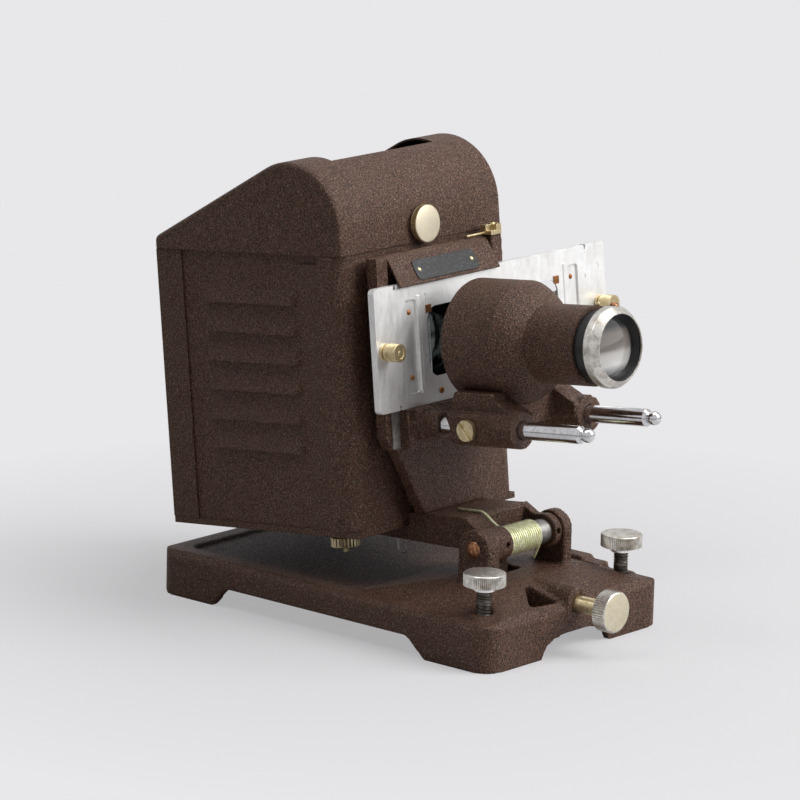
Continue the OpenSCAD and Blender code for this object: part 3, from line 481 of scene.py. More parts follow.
def crackle_enamel(name, worn):
    """Wrinkle enamel, stoved so that its skin puckers: brown, with pinpoint glints painted into its colour as
    painted highlights on the ridges, and darker valleys that are partly painted shade.

    worn is "none", "line" for a rubbed edge with bare metal, or "corners" where ridges wear
    through.
    """
    settings = bpy.context.scene.projector_paint
    # The glint colour is a painted highlight; dust and bare metal are the enamel's own dirt and wear.
    painted_glint_colour, dust_colour, metal_colour = rgba("#a08a76"), rgba("#6b574c"), rgba("#b3977a")
    material, tree, shader, place = new_finish(name)
    grain = settings.grain
    ridges = noise(tree, place, grain, 3.0, 0.62)
    pucker = add_node(tree, "ShaderNodeTexVoronoi", {
        "Vector": place, "Scale": 1 / (1.15 * grain), "Randomness": 1.0}, feature="SMOOTH_F1")
    # Colour from the same noise as the bump height: the grain's own tone, with darker valleys as painted shade in
    # the hollows of the wrinkles.
    paint = ramp(tree, ridges, (
        (0.42, settings_hex(settings.shaded_valley)), (0.6, settings_hex(settings.ridge))))
    # Painted highlight: pale brown specks mixed into the colour stand in for glints of light on the wrinkles.
    painted_glint = band(tree, noise(tree, place, 0.9 * grain, 1.0), 0.6, 0.68)
    paint = mixed(tree, times(tree, painted_glint, 0.7), paint, painted_glint_colour)
    dust = band(tree, noise(tree, place, 22 * grain), 0.35, 0.75, 0.0, 0.1)
    paint = mixed(tree, dust, paint, dust_colour)
    metal = None
    if worn == "line":
        metal = band(tree, noise(tree, place, 9 * grain, 4.0, 0.7), 0.5, 0.56)
    elif worn == "corners":
        shape = add_node(tree, "ShaderNodeNewGeometry")
        edge = band(tree, shape.outputs["Pointiness"], 0.53, 0.58)
        patches = band(tree, noise(tree, place, 7 * grain, 4.0, 0.7), 0.53, 0.62)
        metal = times(tree, edge, patches)
    if metal is not None:
        paint = mixed(tree, metal, paint, metal_colour)
        wire(tree, times(tree, metal, 0.85), shader.inputs["Metallic"])
    wire(tree, paint, shader.inputs["Base Color"])
    wire(tree, band(tree, ridges, 0.3, 0.7, 0.6, 0.36), shader.inputs["Roughness"])
    wire(tree, 0.3, shader.inputs["Specular IOR Level"])
    height = maths(tree, "ADD", ridges, times(tree, pucker.outputs["Distance"], 0.5))
    bump(tree, shader, height, 0.6 * MM)
    return material


def satin_aluminium(name):
    """Rolled aluminium sheet with a satin skin, fine scratches and dark rub marks."""
    material, tree, shader, place = new_finish(name)
    soft = noise(tree, place, 14 * MM, 4.0, 0.6)
    scratch = noise(tree, place, 2.5 * MM, 3.0, 0.6, (1.0, 1.0, 0.25))
    colour = ramp(tree, soft, ((0.3, "#e8e7e4"), (0.65, "#fbfbfa")))
    smudge = times(tree, band(tree, scratch, 0.6, 0.72), band(tree, soft, 0.52, 0.66))
    colour = mixed(tree, times(tree, smudge, 0.75), colour, rgba("#5a5653"))
    wire(tree, colour, shader.inputs["Base Color"])
    wire(tree, 0.6, shader.inputs["Metallic"])
    wire(tree, band(tree, scratch, 0.3, 0.7, 0.4, 0.55), shader.inputs["Roughness"])
    bump(tree, shader, noise(tree, place, 0.5 * MM), 0.02 * MM, 0.6)
    return material


def mirroring_glass(name):
    """Front lens: coated glass with a painted reflection of the pale room in its colour, greyer towards its top.
    """
    material, tree, shader, place = new_finish(name)
    below, above = 14 * MM, 12 * MM
    parts = add_node(tree, "ShaderNodeSeparateXYZ", {0: place})
    height = band(tree, parts.outputs["Z"], LENS_Z - below, LENS_Z + above)
    # Painted reflection: bands of pale and grey colour up the glass stand in for the room mirrored in it.
    colour = ramp(tree, height, (
        (0.0, "#5d6062"), (0.18, "#e9e9e6"), (0.42, "#cfcac4"), (0.52, "#98908a"),
        (0.85, "#8e857e"), (1.0, "#3b3c3d")))
    for key, value in (("Base Color", colour), ("Transmission Weight", 0.25), ("Roughness", 0.04),
                       ("IOR", 1.6), ("Coat Weight", 1.0)):
        wire(tree, value, shader.inputs[key])
    return material


def clear_glass(name, tint):
    """Polished lens glass: clear, with only a trace of dust in its roughness."""
    material, tree, shader, place = new_finish(name)
    dust = band(tree, noise(tree, place, 1.5 * MM, 4.0, 0.7), 0.6, 0.8, 0.0, 0.05)
    for key, value in (("Base Color", rgba(tint)), ("Transmission Weight", 1.0), ("IOR", 1.52),
                       ("Roughness", dust)):
        wire(tree, value, shader.inputs[key])
    return material


def mottled(name, grain, stops, sheen, metallic=0.0, coat=0.0, relief=None):
    """A finish whose colour drifts with noise.

    grain holds the noise's size, detail, roughness and stretch. sheen is the roughness, or the
    values for band() where it follows the noise. relief holds the size of its bumps (0 where they
    follow the noise), their height and their strength.
    """
    material, tree, shader, place = new_finish(name)
    drift = noise(tree, place, *grain)
    if isinstance(sheen, tuple):
        sheen = band(tree, drift, *sheen)
    for key, value in (("Base Color", ramp(tree, drift, stops)), ("Roughness", sheen),
                       ("Metallic", metallic), ("Coat Weight", coat)):
        wire(tree, value, shader.inputs[key])
    if relief:
        size, depth, strength = relief
        bump(tree, shader, noise(tree, place, size) if size else drift, depth, strength)
    return material


def turned_metal(name, light, dark, rough, soil=0.35):
    """Bare metal from a lathe: fine tool lines, with soft grey soiling."""
    return mottled(name, (4 * MM, 4.0, 0.65), ((0.3, dark), (0.3 + soil, light)),
                   (0.3, 0.7, rough + 0.16, rough), 1.0, relief=(0.25 * MM, 0.02 * MM, 0.5))


RECIPES = {
    "enamel": (crackle_enamel, "none"),
    "enamel_edge": (crackle_enamel, "line"),
    "cast_enamel": (crackle_enamel, "corners"),
    "satin_aluminium": (satin_aluminium,),
    "mirroring_glass": (mirroring_glass,),
    "optical_glass": (clear_glass, "#f4f8fa"),
    # Pale green glass that holds back heat.
    "heat_absorbing_glass": (clear_glass, "#cfe8dc"),
    # Dull nickel plating, slightly warm.
    "nickel_plate": (turned_metal, "#e4e1da", "#a49c91", 0.3, 0.3),
    # Lacquered pale brass, nearly white, with a faint yellow cast.
    "cream_face": (turned_metal, "#efe6cf", "#d9cfb4", 0.36, 0.5),
    # Machined brass, unlacquered, a little tarnished.
    "yellow_brass": (turned_metal, "#e6d8b2", "#b39c70", 0.3),
    # Brass that has gone brown, as on springs and studs near the lamp.
    "tarnished_brass": (turned_metal, "#a9744a", "#7c4f28", 0.38),
    # Bright plated face that mirrors the pale surroundings.
    "polished_white_metal": (turned_metal, "#fbfafa", "#eceae8", 0.2, 0.3),
    # Blued-grey spring steel leaf.
    "spring_steel": (turned_metal, "#aeb0b2", "#6e7072", 0.32),
    # Dark oiled steel of screw threads, also used as painted shade in the grooves of knurls.
    "oiled_steel": (turned_metal, "#77716a", "#3a3632", 0.4),
    # Bare metal rim of the black plate, rubbed bright.
    "bright_rim": (turned_metal, "#dedbd5", "#aba69e", 0.3),
    # Plain drawn steel, grey and slightly rough.
    "plain_steel": (turned_metal, "#a2a09c", "#6b6864", 0.42),
    # Chromium plate: hard, mirror bright, with faint rubbing marks.
    "chrome_plate": (mottled, (3 * MM, 5.0, 0.7), ((0.35, "#c9c9cb"), (0.6, "#e2e2e4")),
                     (0.4, 0.7, 0.06, 0.16), 1.0),
    # Riveted pin end: coppery and hammered, mottled dark and light.
    "copper_rivet": (mottled, (1.6 * MM, 3.0, 0.6), ((0.35, "#5d3524"), (0.65, "#c08a66")),
                     0.34, 0.9, 0.0, (0, 0.25 * MM, 1.0)),
    # Spring wire with a pale yellow-green passivated skin.
    "zinc_yellow_wire": (mottled, (2.2 * MM, 3.0), ((0.35, "#d6d79c"), (0.62, "#f7f8d8")),
                         0.38, 0.45),
    # Matt black lacquer that kills stray light, with a trace of dust.
    "matt_black": (mottled, (3 * MM, 4.0, 0.7), ((0.45, "#0c0c0c"), (0.75, "#1d1b1a")),
                   0.55, 0.0, 0.0, (0.4 * MM, 0.03 * MM, 0.6)),
    # Semi-gloss black on the lens barrel, rubbed in places.
    "black_gloss": (mottled, (2.5 * MM, 4.0, 0.7), ((0.4, "#090909"), (0.72, "#24211f")),
                    (0.3, 0.7, 0.3, 0.42)),
    # Moulded black phenolic of the mains inlet, faintly brown.
    "phenolic": (mottled, (5 * MM, 3.0), ((0.35, "#120e0d"), (0.7, "#1f1815")), 0.24, 0.0, 0.2),
    # Unglazed lamp holder ceramic, chalky white.
    "white_ceramic": (mottled, (1.2 * MM, 3.0), ((0.3, "#d8d1c2"), (0.6, "#ebe6da")),
                      0.7, 0.0, 0.0, (0, 0.05 * MM, 1.0)),
    "silvered_mirror": (mottled, (6 * MM, 3.0), ((0.3, "#dcdcdd"), (0.6, "#eeeeef")), 0.08, 1.0),
    # Black enamelled plate, bare of any marking, with light scuffs.
    "plate_enamel": (mottled, (1.3 * MM, 5.0, 0.75, (0.4, 1.0, 1.0)),
                     ((0.5, "#1b1c1d"), (0.68, "#4d4e4f")), 0.3),
}
FINISHES = {}


def finish(name):
    """One shared material for each recipe, made when it is first asked for."""
    if name not in FINISHES:
        maker, *values = RECIPES[name]
        FINISHES[name] = maker(name, *values)
    return FINISHES[name]


# Settings

def colour_setting(name, note, parts):
    return FloatVectorProperty(name=name, description=note, subtype="COLOR_GAMMA", size=3,
                               min=0.0, max=1.0, default=parts)


def length_setting(name, note, value, low, high):
    """A length with its limits, given in millimetres."""
    return FloatProperty(name=name, description=note, subtype="DISTANCE", unit="LENGTH",
                         default=value * MM, min=low * MM, max=high * MM)


def angle_setting(name, note, degrees):
    return FloatProperty(name=name, description=note, subtype="ANGLE", unit="ROTATION",
                         default=math.radians(degrees))


def power_setting(name, note, watts):
    return FloatProperty(name=name, description=note, subtype="POWER", default=watts)


class PaintSettings(bpy.types.PropertyGroup):
    """Colours and grain of the wrinkle enamel."""
    ridge: colour_setting("Ridge colour", "Enamel on the tops of the wrinkles",
                          (0.41, 0.275, 0.205))
    # The valley colour is darker partly as painted shade in the hollows of the wrinkles.
    shaded_valley: colour_setting("Valley colour", "Enamel between the wrinkles", (0.125, 0.076, 0.053))
    grain: length_setting("Grain", "Distance between wrinkles", 0.85, 0.3, 3)


class MetalSettings(bpy.types.PropertyGroup):
    """Sizes of the turned and knurled pieces."""
    knurl_pitch: length_setting("Knurl pitch", "Distance between ridges round a knob", 1.15, 0.5, 3)
    knurl_depth: length_setting("Knurl depth", "Height of a ridge", 0.5, 0.1, 1)
    thread_pitch: length_setting("Thread pitch", "Rise of the levelling screws in one turn",
                                 1.5, 0.8, 2.5)
    edge: length_setting("Edge radius", "Rounding of sheet metal edges", 0.35, 0.1, 1)


class StageSettings(bpy.types.PropertyGroup):
    """Camera, background and lamps."""
    azimuth: angle_setting("Azimuth", "Camera angle round the projector from the lens side", -49.82)
    elevation: angle_setting("Elevation", "Camera angle above the table", 13.17)
    distance: FloatProperty(name="Distance", description="Camera distance from the projector",
                            subtype="DISTANCE", unit="LENGTH", default=2.9995)
    roll: angle_setting("Roll", "Turn of the camera about its own view", 1.49)
    focal: FloatProperty(name="Focal length", description="Lens in millimetres on a 36 mm sensor",
                         default=235.2)
    paper: colour_setting("Paper", "Colour of the floor and the background", (0.908, 0.905, 0.915))
    key: power_setting("Key light", "Power of the large lamp at the front right", 26.0)
    top: power_setting("Top light", "Power of the large lamp overhead", 8.0)
    side: power_setting("Side light", "Power of the soft lamp at the left", 4.2)
    fill: FloatProperty(name="Fill", description="Light from the surroundings", default=0.07,
                        min=0.0, max=1.0)


# Stage

class PROJECTOR_OT_stage(bpy.types.Operator):
    """Floor, lamps, surroundings and the camera at the photograph's angle"""
    bl_idname = "projector.stage"
    bl_label = "Stage"

    def execute(self, context):
        stage = context.scene.projector_stage
        paper = rgba(settings_hex(stage.paper))
        self.camera(context, stage)
        self.surroundings(context, stage, paper)
        self.floor(paper)
        for name, place, size, power in (
                ("key_lamp", (0.7, -1.25, 1.15), 1.1, stage.key),
                ("top_lamp", (0.25, -0.15, 1.5), 1.2, stage.top),
                ("side_lamp", (-0.75, 0.25, 1.6), 0.5, stage.side)):
            self.lamp(context, name, place, size, power)
        return {"FINISHED"}

    def camera(self, context, stage):
        """Stands the camera off the target; side and rise centre the object in the frame."""
        target = Vector((MIDDLE, HINGE.y + 113.5 * MM, 130 * MM))
        side, rise = 19.5 * MM, -12.73 * MM
        az, el = stage.azimuth, stage.elevation
        back = Vector((math.sin(az) * math.cos(el), -math.cos(az) * math.cos(el), math.sin(el)))
        right = Vector((math.cos(az), math.sin(az), 0.0))
        up = back.cross(right)
        across = right * math.cos(stage.roll) + up * math.sin(stage.roll)
        above = up * math.cos(stage.roll) - right * math.sin(stage.roll)
        data = bpy.data.cameras.new("camera")
        data.lens = stage.focal
        data.sensor_width = 36.0
        data.clip_start = 0.1
        data.clip_end = 50.0
        camera = bpy.data.objects.new("camera", data)
        context.scene.collection.objects.link(camera)
        stand = Matrix.Translation(target + back * stage.distance + right * side + up * rise)
        camera.matrix_world = stand @ Matrix((across, above, back)).transposed().to_4x4()
        context.scene.camera = camera

    def surroundings(self, context, stage, paper):
        """Paper colour behind the object, somewhat darker in metals, dim as a lamp."""
        metals_see = 0.8
        world = bpy.data.worlds.new("studio")
        context.scene.world = world
        world.use_nodes = True
        tree = world.node_tree
        tree.nodes.clear()
        path = add_node(tree, "ShaderNodeLightPath")
        seen = maths(tree, "MAXIMUM", path.outputs["Is Camera Ray"],
                     path.outputs["Is Transmission Ray"])
        plain, shiny, bright = [
            add_node(tree, "ShaderNodeBackground", {"Color": paper, "Strength": power}).outputs[0]
            for power in (stage.fill, metals_see, 1.0)]
        first = add_node(tree, "ShaderNodeMixShader", {
            0: path.outputs["Is Glossy Ray"], 1: plain, 2: shiny})
        second = add_node(tree, "ShaderNodeMixShader", {0: seen, 1: first.outputs[0], 2: bright})
        add_node(tree, "ShaderNodeOutputWorld", {"Surface": second.outputs[0]})

    def floor(self, paper):
        """Pale paper that keeps the object's shadow near it and fades to the background."""
        size, reflects = 9.0, 0.9
        fade_from, fade_to, glow_near = 0.18, 0.42, 0.5
        mesh = mesh_from("floor", lambda bm: bmesh.ops.create_grid(
            bm, x_segments=1, y_segments=1, size=size))
        floor = new_object("floor", mesh)
        material = bpy.data.materials.new("studio_paper")
        material.use_nodes = True
        tree = material.node_tree
        tree.nodes.clear()
        place = add_node(tree, "ShaderNodeTexCoord")
        far = add_node(tree, "ShaderNodeVectorMath", {
            0: place.outputs["Object"]}, operation="LENGTH")
        fade = band(tree, far.outputs["Value"], fade_from, fade_to, glow_near, 1.0)
        path = add_node(tree, "ShaderNodeLightPath")
        seen = times(tree, path.outputs["Is Camera Ray"], fade)
        lit = add_node(tree, "ShaderNodeBsdfDiffuse", {
            "Color": [reflects * part for part in paper[:3]] + [1.0]})
        glow = add_node(tree, "ShaderNodeEmission", {"Color": paper, "Strength": 1.0})
        both = add_node(tree, "ShaderNodeMixShader", {
            0: seen, 1: lit.outputs[0], 2: glow.outputs[0]})
        add_node(tree, "ShaderNodeOutputMaterial", {"Surface": both.outputs[0]})
        mesh.materials.append(material)

    def lamp(self, context, name, place, size, power):
        """A square lamp that faces the middle of the projector."""
        data = bpy.data.lights.new(name, "AREA")
        data.shape = "SQUARE"
        data.size = size
        data.energy = power
        lamp = bpy.data.objects.new(name, data)
        context.scene.collection.objects.link(lamp)
        lamp.location = place
        look = (Vector((0.0, 0.0, 0.12)) - Vector(place)).to_track_quat("-Z", "Y")
        lamp.rotation_euler = look.to_euler()


# Pieces

class PROJECTOR_OT_castings(bpy.types.Operator):
    """Cast pieces in wrinkle enamel: base, arm, front frame and lens carriage"""
    bl_idname = "projector.castings"
    bl_label = "Castings"

    def execute(self, context):
        paint = finish("cast_enamel")
        cast("base_casting", "base", 1.15 * MM, paint)
        cast("tilt_arm", "arm", 0.7 * MM, paint)
        cast("front_frame", "upright_frame", 0.8 * MM, paint, rounds=2)
        cast("lens_carriage", "carriage", 0.6 * MM, paint)
        return {"FINISHED"}


class PROJECTOR_OT_lamp_house(bpy.types.Operator):
    """Folded sheets, strips, tray and rivets of the lamp house"""
    bl_idname = "projector.lamp_house"
    bl_label = "Lamp house"

    def execute(self, context):
        edge = context.scene.projector_metal.edge
        paint, worn = finish("enamel"), finish("enamel_edge")
        for node in ("house_front_sheet", "house_back_sheet", "corner_strip_left",
                     "corner_strip_right", "bottom_tray", "slide_flap", "hood_hinge_leaf"):
            eased(node, node + "_skin", edge, paint, worn)
        eased("house_rivets", "house_rivet_heads", 0.1 * MM, paint, angle=60)
        return {"FINISHED"}


class PROJECTOR_OT_louvres(bpy.types.Operator):
    """Side panels with pressed louvres, rounded at their ends and open below"""
    bl_idname = "projector.louvres"
    bl_label = "Louvred panels"

    def execute(self, context):
        for node, way in (("side_panel_left", -1), ("side_panel_right", 1)):
            self.panel(node, way)
        return {"FINISHED"}

    def panel(self, node, way):
        """One side panel: way is -1 or 1, the side that the louvres stand out on."""
        low, high = level_box(node)
        stand_out, sheet = 3.0 * MM, 1.1 * MM
        face = (high.x if way > 0 else low.x) - way * stand_out
        front, rear = low.y + 26.5 * MM, low.y + 96.1 * MM
        count, pitch, tall = 6, 16.9 * MM, 9.0 * MM
        first = high.z - 28.7 * MM
        scoop = mesh_from("scoop", lambda bm: self.scoop(
            bm, face, way * stand_out, front, rear, first, tall))
        scoops = grown(node + "_scoops", "row", scoop, Count=count, Step=(0, 0, -pitch),
                       Material=finish("enamel"))
        feet = [first - i * pitch for i in range(count)]
        plate = new_object(node + "_plate", mesh_from("plate", lambda bm: self.plate(
            bm, face, low, high, front, rear, [(foot, foot + tall) for foot in feet])))
        plate.data.materials.append(finish("enamel"))
        panel = joined(node + "_skin", [plate, scoops])
        bm = bmesh.new()
        bm.from_mesh(panel.data)
        bmesh.ops.remove_doubles(bm, verts=bm.verts, dist=1e-5)
        for f in bm.faces:
            if f.normal.x * way < 0:
                f.normal_flip()
        bm.to_mesh(panel.data)
        bm.free()
        walled(panel, sheet)
        panel = smooth(baked(panel), 50)
        dress(tip(HEAD, panel), "head", node, finish=finish("enamel"))

    def scoop(self, bm, face, stand_out, front, rear, foot, tall):
        """A pressed hood: nothing at its top and ends, full depth along its open lower lip."""
        across, down = 44, 10
        round_end = 4.0 * MM
        rows = []
        for i in range(down + 1):
            fall = i / down
            row = []
            for j in range(across + 1):
                y = front + (rear - front) * j / across
                near = min(y - front, rear - y, round_end) / round_end
                rise = math.sqrt(max(0.0, 1 - (1 - near) ** 2))
                row.append(bm.verts.new((
                    face + stand_out * fall * rise, y, foot + tall * (1 - fall))))
            rows.append(row)
        for upper, lower in zip(rows, rows[1:]):
            for j in range(across):
                bm.faces.new((upper[j], upper[j + 1], lower[j + 1], lower[j]))

    def plate(self, bm, face, low, high, front, rear, holes):
        """The flat of the panel as strips round the louvre holes."""
        def quad(y0, y1, z0, z1):
            corners = ((y0, z0), (y1, z0), (y1, z1), (y0, z1))
            bm.faces.new([bm.verts.new((face, y, z)) for y, z in corners])
        quad(low.y, front, low.z, high.z)
        quad(rear, high.y, low.z, high.z)
        top = high.z
        for z0, z1 in holes:
            quad(front, rear, z1, top)
            top = z0
        quad(front, rear, low.z, top)


class PROJECTOR_OT_hood(bpy.types.Operator):
    """Hood with a round front, soft edges and an outlet opening over its crest"""
    bl_idname = "projector.hood"
    bl_label = "Hood"

    def execute(self, context):
        low, high = level_box("hood_shell")
        too_high = 1.6 * MM
        high.z -= too_high
        radius, slope_foot = 37.5 * MM, 6.7 * MM
        sheet, soft = 1.1 * MM, 3.0 * MM
        vent_half, slot_half = 44 * MM, 3.1 * MM
        centre = Vector((0, low.y + radius, high.z - radius))
        outline = self.outline(low, high, radius, centre, slope_foot)
        shell = new_object("hood_skin", mesh_from("hood", lambda bm: self.prism(
            bm, outline, low, high)))
        self.soften(shell, soft)
        vent = self.block("vent", (MIDDLE - vent_half, MIDDLE + vent_half),
                          (centre.y - 11.5 * MM, centre.y + 34 * MM),
                          (centre.z + 4 * MM, high.z + 9 * MM))
        knob_low, knob_high = level_box("hood_knob")
        knob_z = (knob_low.z + knob_high.z) / 2
        slot = self.block("slot", (MIDDLE - slot_half, MIDDLE + slot_half),
                          (low.y - 5 * MM, low.y + 5 * MM), (low.z - 9 * MM, knob_z + 2 * MM))
        walled(shell, sheet)
        for cutter in (vent, slot):
            cut = shell.modifiers.new("cut", "BOOLEAN")
            cut.object = cutter
            cut.operation = "DIFFERENCE"
            cut.solver = "EXACT"
        shell = baked(shell)
        for cutter in (vent, slot):
            bpy.data.objects.remove(cutter)
        tip(HEAD, smooth(shell, 28))
        dress(shell, "hood", "hood_shell", finish=finish("enamel"))
        eased("hood_baffle", "hood_baffle_plate", 0.2 * MM, finish("matt_black"))
        eased("hood_hinge_tab", "hood_hinge_tab_plate", 0.2 * MM, finish("enamel"))
        return {"FINISHED"}

    def outline(self, low, high, radius, centre, foot):
        """Side view as (y, z) points: up the front, round the crest, down the slope."""
        dy, dz = high.y - centre.y, centre.z - low.z - foot
        slope = math.asin(radius / math.hypot(dy, dz)) + math.atan2(dz, dy)
        turn = math.pi / 2 + slope
        steps = 40
        points = [(low.y, low.z)]
        for i in range(steps + 1):
            a = math.pi - turn * i / steps
            points.append((centre.y + radius * math.cos(a), centre.z + radius * math.sin(a)))
        points += [(high.y, low.z + foot), (high.y, low.z)]
        return points

    def prism(self, bm, outline, low, high):
        """Cheeks, front, roof and back as an open-bottomed box."""
        left = [bm.verts.new((low.x, y, z)) for y, z in outline]
        right = [bm.verts.new((high.x, y, z)) for y, z in outline]
        bm.faces.new(left)
        bm.faces.new(list(reversed(right)))
        for i in range(len(outline) - 1):
            bm.faces.new((left[i], right[i], right[i + 1], left[i + 1]))

    def soften(self, shell, size):
        """Rounds the edges where the cheeks meet the roof, and the back corner."""
        bm = bmesh.new()
        bm.from_mesh(shell.data)
        sharp = math.radians(20)
        edges = [edge for edge in bm.edges
                 if len(edge.link_faces) == 2 and edge.calc_face_angle(0.0) > sharp]
        bmesh.ops.bevel(bm, geom=edges, offset=size, offset_type="OFFSET", segments=5,
                        profile=0.5, affect="EDGES", clamp_overlap=True)
        bmesh.ops.recalc_face_normals(bm, faces=bm.faces)
        bm.to_mesh(shell.data)
        bm.free()

    def block(self, name, xs, ys, zs):
        def build(bm):
            made = bmesh.ops.create_cube(bm, size=1.0)
            for v in made["verts"]:
                v.co = Vector((xs[v.co.x > 0], ys[v.co.y > 0], zs[v.co.z > 0]))
        return new_object(name, mesh_from(name, build))


def raised(turn, height):
    """The turn matrix moved along its own Z axis."""
    return turn @ Matrix.Translation((0, 0, height))


def knob_head(name, turn, radius, thick, face, side, pitch, depth, rim=0.8 * MM):
    """A knurled head from height 0 to thick: plain rims, ridges between over dark painted shade in the grooves, a
    flat polished face.
    """
    core = radius - depth
    body = new_object(name + "_core", mesh_from(name, lambda bm: lathe(bm, [
        (0.0, 0.0), (radius - 2 * rim, 0.0), (radius - 0.5 * rim, 0.5 * rim), (core, rim),
        (core, thick - rim), (radius - 0.4 * rim, thick - 0.6 * rim),
        (radius - 0.8 * rim, thick - 0.1 * rim), (radius - 1.2 * rim, thick), (0.0, thick)], turn)))
    # The third finish is painted shade for the knurl's grooves: the core between the ridges gets the dark steel.
    for metal in (side, face, finish("oiled_steel")):
        body.data.materials.append(metal)
    face_slot, shaded_groove_slot = 1, 2
    level = turn.inverted()
    for polygon in body.data.polygons:
        place = level @ polygon.center
        if place.z > thick - 0.05 * rim:
            polygon.material_index = face_slot
        elif rim < place.z < thick - rim:
            polygon.material_index = shaded_groove_slot
    count = round(2 * math.pi * radius / pitch)
    ridges = grown(name + "_ridges", "knurl", Radius=core, Length=thick - 1.3 * rim, Count=count,
                   Width=math.sqrt(2) * depth, Material=side)
    tip(raised(turn, thick / 2), ridges)
    return joined(name + "_head", [smooth(body, 40), ridges])


def threaded_stem(name, turn, radius, start, end, pitch, depth, metal):
    """A screw stem from start to end with a real helical thread."""
    core = radius - depth
    stem = new_object(name + "_stem", mesh_from(name, lambda bm: lathe(bm, [
        (0.0, start), (core - depth, start), (core, start + depth), (core, end),
        (0.0, end)], turn)))
    stem.data.materials.append(metal)
    length = end - start - 3 * depth
    thread = grown(name + "_thread", "thread", Radius=core + 0.25 * depth, Height=length,
                   Turns=length / pitch, Depth=0.74 * depth, Material=metal)
    tip(raised(turn, start + 2 * depth), thread)
    return joined(name + "_screw", [smooth(stem, 40), smooth(thread, 20)])


def plain_turning(name, turn, profile, metal, segments=64):
    """A lathed piece from [radius, height] points in millimetres."""
    points = [(radius * MM, height * MM) for radius, height in profile]
    piece = new_object(name, mesh_from(name, lambda bm: lathe(bm, points, turn, segments)))
    piece.data.materials.append(metal)
    return smooth(piece, 40)


class PROJECTOR_OT_knobs(bpy.types.Operator):
    """Knurled heads and their screws: levelling, tilt, hood and lamp clamp"""
    bl_idname = "projector.knobs"
    bl_label = "Knurled screws"

    def execute(self, context):
        metal = context.scene.projector_metal
        self.level_screw("level_screw_left", metal)
        self.level_screw("level_screw_right", metal)
        self.tilt_screw(metal)
        self.hood_knob(metal)
        self.lamp_nut(metal)
        return {"FINISHED"}

    def level_screw(self, node, metal):
        low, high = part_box(node)
        middle = (Vector(low) + Vector(high)) / 2
        turn = Matrix.Translation((middle.x, middle.y, 0.0))
        thick, collar, stem, thread = 7.8, 3.0, 4.3, 0.6
        under = high[2] / MM - thick
        neck = under - collar
        plate = finish("nickel_plate")
        head = knob_head(node, raised(turn, under * MM), (high[0] - low[0]) / 2, thick * MM,
                         plate, plate, metal.knurl_pitch, metal.knurl_depth)
        ring = plain_turning(node + "_collar", turn, [
            (0, neck), (5.2, neck), (6.1, neck + 0.6), (6.1, under - 0.4), (5.7, under + 0.1),
            (0, under + 0.1)], finish("polished_white_metal"))
        screw = threaded_stem(node, turn, stem * MM, low[2], (neck + 0.2) * MM,
                              metal.thread_pitch, thread * MM, finish("oiled_steel"))
        dress(joined(node + "_piece", [head, ring, screw]), body_of(node), node)

    def tilt_screw(self, metal):
        low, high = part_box("tilt_screw")
        axis = Vector(((low[0] + high[0]) / 2, low[1], (low[2] + high[2]) / 2))
        turn = Matrix.Translation(axis) @ Matrix.Rotation(math.pi / 2, 4, "X")
        thick, stem, nib = 9.2, 4.8, 3.0
        tail = -(high[1] - low[1]) / MM
        head = knob_head("tilt", raised(turn, -thick * MM), (high[2] - low[2]) / 2, thick * MM,
                         finish("cream_face"), finish("nickel_plate"), 1.25 * metal.knurl_pitch,
                         1.4 * metal.knurl_depth, rim=1.0 * MM)
        shaft = plain_turning("tilt_shaft", turn, [
            (0, -thick - 0.1), (stem - 0.5, -thick - 0.1), (stem - 0.5, -thick - 3.2),
            (stem - 0.1, -thick - 3.6), (stem, -thick - 4.0), (stem, tail + nib - 0.6),
            (stem - 0.6, tail + nib), (2.0, tail + nib), (2.0, tail + 1.0), (1.3, tail + 0.2),
            (0, tail)], finish("yellow_brass"))
        dress(joined("tilt_screw_piece", [head, shaft]), "tilt_adjuster", "tilt_screw")

    def hood_knob(self, metal):
        low, high = level_box("hood_knob")
        axis = Vector(((low.x + high.x) / 2, low.y, (low.z + high.z) / 2))
        turn = Matrix.Translation(axis) @ Matrix.Rotation(math.pi / 2, 4, "X")
        thick, stem = 4.0, 2.8
        head = knob_head("hood_knob", raised(turn, -thick * MM), (high.z - low.z) / 2, thick * MM,
                         finish("cream_face"), finish("yellow_brass"), metal.knurl_pitch,
                         metal.knurl_depth, rim=0.6 * MM)
        tail = -(high.y - low.y) / MM
        seat = 0.3 - (level_box("hood_shell")[0].y - low.y) / MM
        shaft = plain_turning("hood_knob_shaft", turn, [
            (0, 0.1 - thick), (6.5, 0.1 - thick), (6.5, seat + 0.4), (6.1, seat), (stem, seat),
            (stem, tail + 0.5), (stem - 0.5, tail), (0, tail)], finish("yellow_brass"))
        piece = joined("hood_knob_piece", [head, shaft])
        dress(tip(HEAD, piece), "hood_fastener", "hood_knob")

    def lamp_nut(self, metal):
        low, high = level_box("lamp_nut")
        turn = Matrix.Translation(((low.x + high.x) / 2, (low.y + high.y) / 2, low.z))
        thick, pin, neck, groove = 6.2, 3.3, 5, 3
        above, top = pin + thick, (high.z - low.z) / MM
        brass = finish("yellow_brass")
        head = knob_head("lamp_nut", raised(turn, pin * MM), (high.x - low.x) / 2, thick * MM,
                         brass, brass, 2.0 * metal.knurl_pitch, 1.3 * metal.knurl_depth)
        shaft = plain_turning("lamp_nut_shaft", turn, [
            (0, 0), (1.4, 0), (1.7, 0.3), (1.7, pin + 0.1), (0, pin + 0.1)], brass)
        collar = plain_turning("lamp_nut_neck", turn, [
            (0, above - 0.1), (neck, above - 0.1), (neck, above + 9.7), (groove, above + 9.7),
            (groove, top - 2.2), (neck, top - 2.2), (neck, top), (0, top)], brass)
        piece = joined("lamp_nut_piece", [head, shaft, collar])
        dress(tip(HEAD, piece), "lamp_clamp", "lamp_nut")


